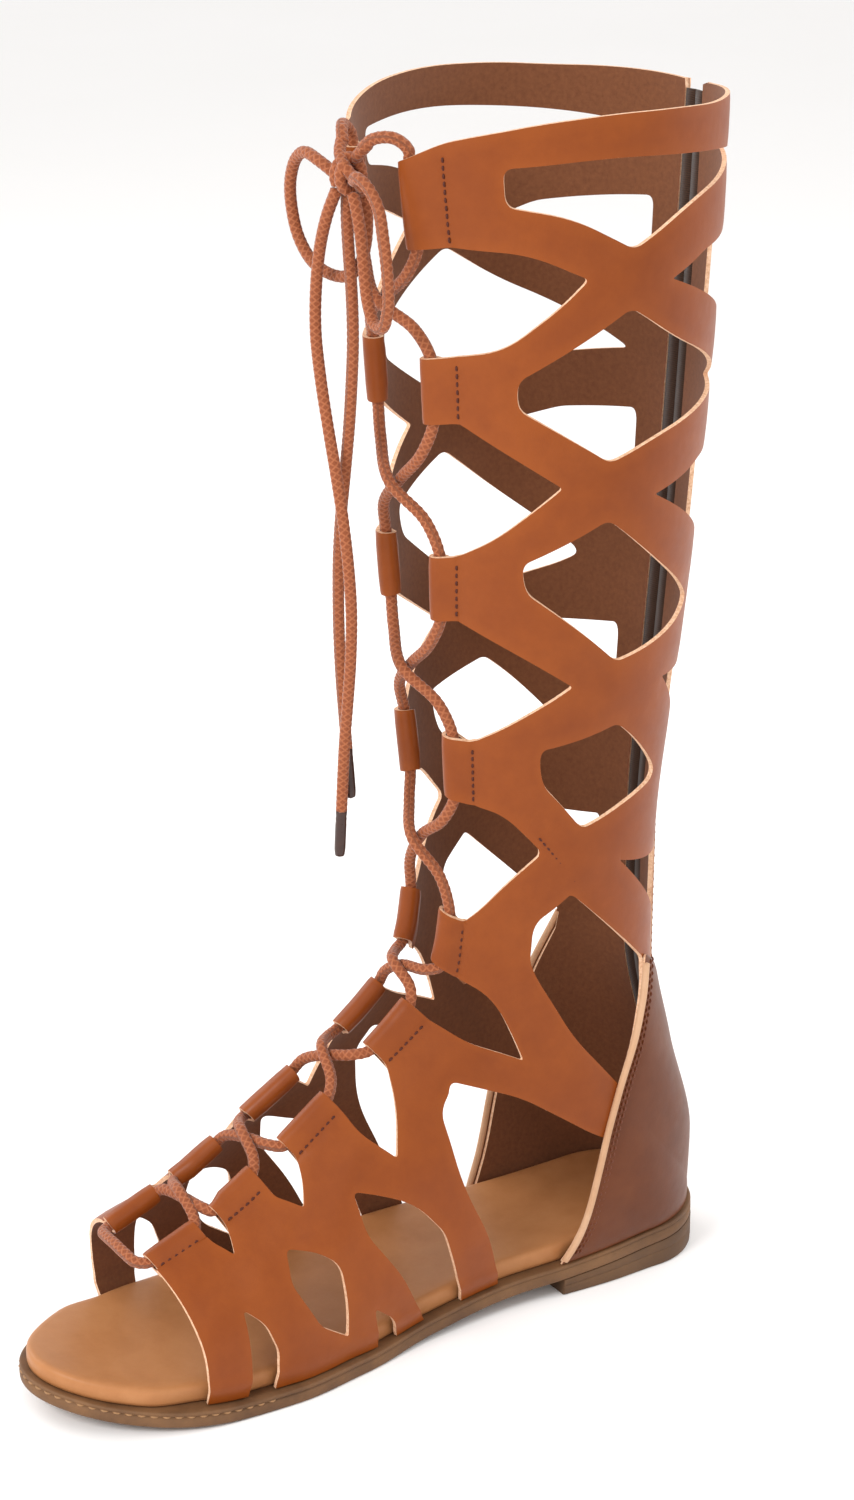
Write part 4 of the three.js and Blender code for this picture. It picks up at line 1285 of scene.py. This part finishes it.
def zip_fastener():
    """Two woven tapes and their interlocked teeth, parted above the slider."""
    teeth = []
    for i, a in enumerate(np.arange(ZIP_FOOT + 4, ZIP_TOP - 1, TOOTH_PITCH)):
        point, right, up, out = zip_frame(a)
        side = MEDIAL if i % 2 else LATERAL
        part = 1.5 * max(0.0, (a - SLIDER_ALONG) / 10)
        centre = point + out * TOOTH_DEPTH + right * side * (TOOTH[0] / 4 + part)
        teeth.append(block(centre, (right, up, out), TOOTH))
    for a, wide in ((ZIP_FOOT + 0.8, 4.6), (ZIP_FOOT + 2.2, 3.6)):
        point, right, up, out = zip_frame(a)
        teeth.append(block(point + out * TOOTH_DEPTH, (right, up, out), (wide, 1.1, 2.1)))
    put(joined("zip_teeth", teeth, [TEETH]))

    a = np.arange(ZIP_FOOT - 4, ZIP_TOP + 0.1, 2.0)
    tapes = [back_strip(a, TAPE_SECTION, side) for side in (MEDIAL, LATERAL)]
    put(joined("zip_tapes", tapes, [TAPE]), ["zip_tape"])


# ---------------------------------------------------------------- sole
def ends_close(low, high, count):
    """Stations that crowd towards both ends."""
    return low + (high - low) * (1 - np.cos(np.pi * np.arange(count + 1) / count)) / 2


def plan_ring(inset, height):
    """The sole's plan drawn in by a margin, once round. height(d) gives its z.

    The inset is a number, or a function of the distance from the back of the heel.
    """
    full = ends_close(0, LENGTH, 110)
    margin = inset(full) if callable(inset) else inset
    d = margin + full * (LENGTH - 2 * margin) / LENGTH
    sides = []
    for side in (MEDIAL, LATERAL):
        width = half_width(full, side) * np.maximum(1 - 2 * margin / LAST_WIDTH, 0.02)
        sides.append(np.stack([side * width, HEEL_Y - d, height(d)], -1))
    return np.vstack([sides[0], sides[1][-2:0:-1]])


def plan_body(name, rows, materials):
    """A sole piece from rows of (inset, height function), from the middle below to the middle above."""
    rings = [plan_ring(inset, height) for inset, height in rows]
    count = len(rings[0])
    faces = []
    for r in range(len(rings) - 1):
        low, high = r * count, (r + 1) * count
        for i in range(count):
            j = (i + 1) % count
            faces.append((low + i, high + i, high + j, low + j))
    # the first and last ring are closed by strips from the medial side to the lateral one
    for start, up in ((0, False), ((len(rings) - 1) * count, True)):
        for p in range(count // 2):
            corners = (p, p + 1, count - p - 1, (count - p) % count)
            corners = [start + c for c in dict.fromkeys(corners)]
            faces.append(tuple(corners[::-1] if up else corners))
    return mesh_object(name, np.vstack(rings), faces, materials)


SOLE_GROOVE = 1.7  # stitched groove, below the outsole's top


def outsole():
    """The outsole, from (inset, height) rows above its underside and then below its top."""
    low = [(34, 0), (24, 0), (12, 0), (3, 0), (1.3, 0), (0.5, 0.25), (0.1, 0.9), (0, 2.2)]
    groove = [(0.05, -0.7), (0.4, -0.25), (0.75, 0), (0.4, 0.25), (0.1, 0.6)]
    high = [(inset, z - SOLE_GROOVE) for inset, z in groove]
    high += [(0.1, -0.5), (0.35, -0.15), (0.9, 0), (6, 0), (14, 0), (26, 0), (34, 0)]
    rows = [(inset, lambda d, z=z: underside(d) + z) for inset, z in low]
    rows += [(inset, lambda d, z=z: sole_top(d) + z) for inset, z in high]
    return put(plan_body("outsole_body", rows, [RUBBER]), ["outsole"])


TOE_LEDGE = 2.6  # at the open toe the footbed comes nearer to the outsole's edge
TOE_EASE = (226, 244)  # between these distances from the back of the heel


def footbed():
    """The footbed: a rounded edge and a slightly dished top."""
    def edge(d):
        share = np.clip((d - TOE_EASE[0]) / (TOE_EASE[1] - TOE_EASE[0]), 0, 1)
        share = share * share * (3 - 2 * share)
        return FOOTBED_INSET + (TOE_LEDGE - FOOTBED_INSET) * share

    dish = [(0, -2.4), (0.2, -1.3), (0.7, -0.55), (1.5, -0.1), (2.8, 0.05), (6, -0.1), (12, -0.4),
            (18, -0.7), (24, -0.9), (30, -1)]
    rows = [(28, 0.15), (12, 0.15), (1.2, 0.15), (0.35, 0.5), (0, 1.8)]
    rows += [(inset, FOOTBED + z) for inset, z in dish]
    rows = [(lambda d, i=i: edge(d) + i, lambda d, z=z: sole_top(d) + z) for i, z in rows]
    return put(plan_body("footbed_cover", rows, [FOOTBED_HIDE]), ["footbed"])


def heel_lift():
    """The lift, lofted from the back of the heel to its flat front face."""
    rings = []
    stations = np.unique(np.clip(ends_close(0.8, 2 * HEEL_BREAST, 120), 0.8, HEEL_BREAST))
    for d in stations:
        high = float(underside(d)) - 0.15
        section = [(14, 0), (1.4, 0), (0.5, 0.3), (0.15, 1.0), (0, 2.6), (0, high * 0.55),
                   (0.25, high * 0.6), (0, high * 0.65), (0, high - 0.8), (0.3, high - 0.15), (1, high),
                   (14, high)]
        ring = []
        for side in (MEDIAL, LATERAL):
            width = max(float(half_width(d + 0.4, side)) - 0.4, 0.5)
            narrow = min(1, width / 15)
            half = [(side * max(width - inset * narrow, 0), HEEL_Y - d, z) for inset, z in section]
            ring += half if side == MEDIAL else half[::-1]
        rings.append(ring)
    rows, wide = len(rings), len(rings[0])
    faces = loft_faces(rows, wide) + end_faces(rows, wide)
    thing = mesh_object("heel_lift_body", np.vstack(rings), faces, [LIFT_RUBBER])
    bevel(thing, 0.4)
    return put(thing, ["heel_lift"])


def sole_stitches():
    """Threads that lie in the outsole's groove round the toe."""
    line = []
    lateral, medial = np.arange(196, LENGTH, 0.7), np.arange(LENGTH - 0.2, 196, -0.7)
    for side, distances in ((LATERAL, lateral), (MEDIAL, medial)):
        for d in distances:
            width = float(half_width(d, side))
            line.append((side * (width - 0.45), HEEL_Y - d, float(sole_top(d)) - SOLE_GROOVE))
    line = np.array(line)
    way = unit(np.gradient(line, axis=0))
    out = np.cross(way, [0, 0, 1.0])
    out *= np.sign(np.sum(out * (line - [0, -150, 0]), axis=1))[:, None]
    rows = stitches(np.hstack([line, unit(out)]), 4.2, 2.6, 0.4)
    put(joined("sole_stitches", rows, [PALE_THREAD]))


# ---------------------------------------------------------------- lacing
def lacing():
    """The lace that runs up through both rows of tabs, crossing in front, to the knot."""
    halves = []
    upwards = FOLDS[::-1]
    for start in (MEDIAL, LATERAL):
        side = start
        low, turn = upwards[0].low, side * upwards[0].lace_turn
        rows = [(low - 4.4, 0, 3.0), (low - 4.2, turn * 0.45, 2.6), (low - 3.2, turn * 0.8, 1.6)]
        for fold, above in zip(upwards, upwards[1:] + [None]):
            turn = side * fold.lace_turn
            for a in (fold.low + 0.5, (fold.low + fold.high) / 2, fold.high - 0.5):
                rows.append((a, turn, fold.lace_depth))
            if above is None:
                break
            gap = above.low - fold.high
            crossing = 5.0 if side == MEDIAL else 0.8  # the strand that leaves the medial tab lies on top
            rows += [(fold.high + gap * 0.25, turn * 0.72, 1.6), (fold.high + gap * 0.5, 0, crossing),
                     (above.low - gap * 0.25, -side * above.lace_turn * 0.72, 1.6)]
            side = -side
        a, signed, depth = np.array(rows, float).T
        line = place(a, np.where(signed < 0, 360 + signed, signed), depth)
        to_knot = [(17.8, -93.2, 419.5), (15.8, -97, 423), (10, -101, 422.4), (6, -103, 419)]
        halves.append(np.vstack([line, np.array(to_knot) * [side, 1, 1]]))
    route = np.vstack([halves[0][::-1], halves[1][1:]])
    line = smooth_path(route, LACE_STEP)
    nodes = [f"lace_crossing_{i + 1}" for i in range(len(TABS) - 1)] + ["lace_bar"]
    put(tube("lace_through_tabs", line, braid_radius, [BRAID], LACE_SIDES), nodes)


def hardware():
    """Brass on the two hard zip parts, which keep their CAD shape."""
    for name in ("zip_slider", "zip_pull"):
        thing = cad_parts[name]
        thing.data.materials.clear()
        thing.data.materials.append(BRASS)


camera_and_light()
floor()
free_cords()
upper()
heel_counter()
trim()
zip_stays()
zip_fastener()
outsole()
heel_lift()
footbed()
sole_stitches()
lacing()
hardware()
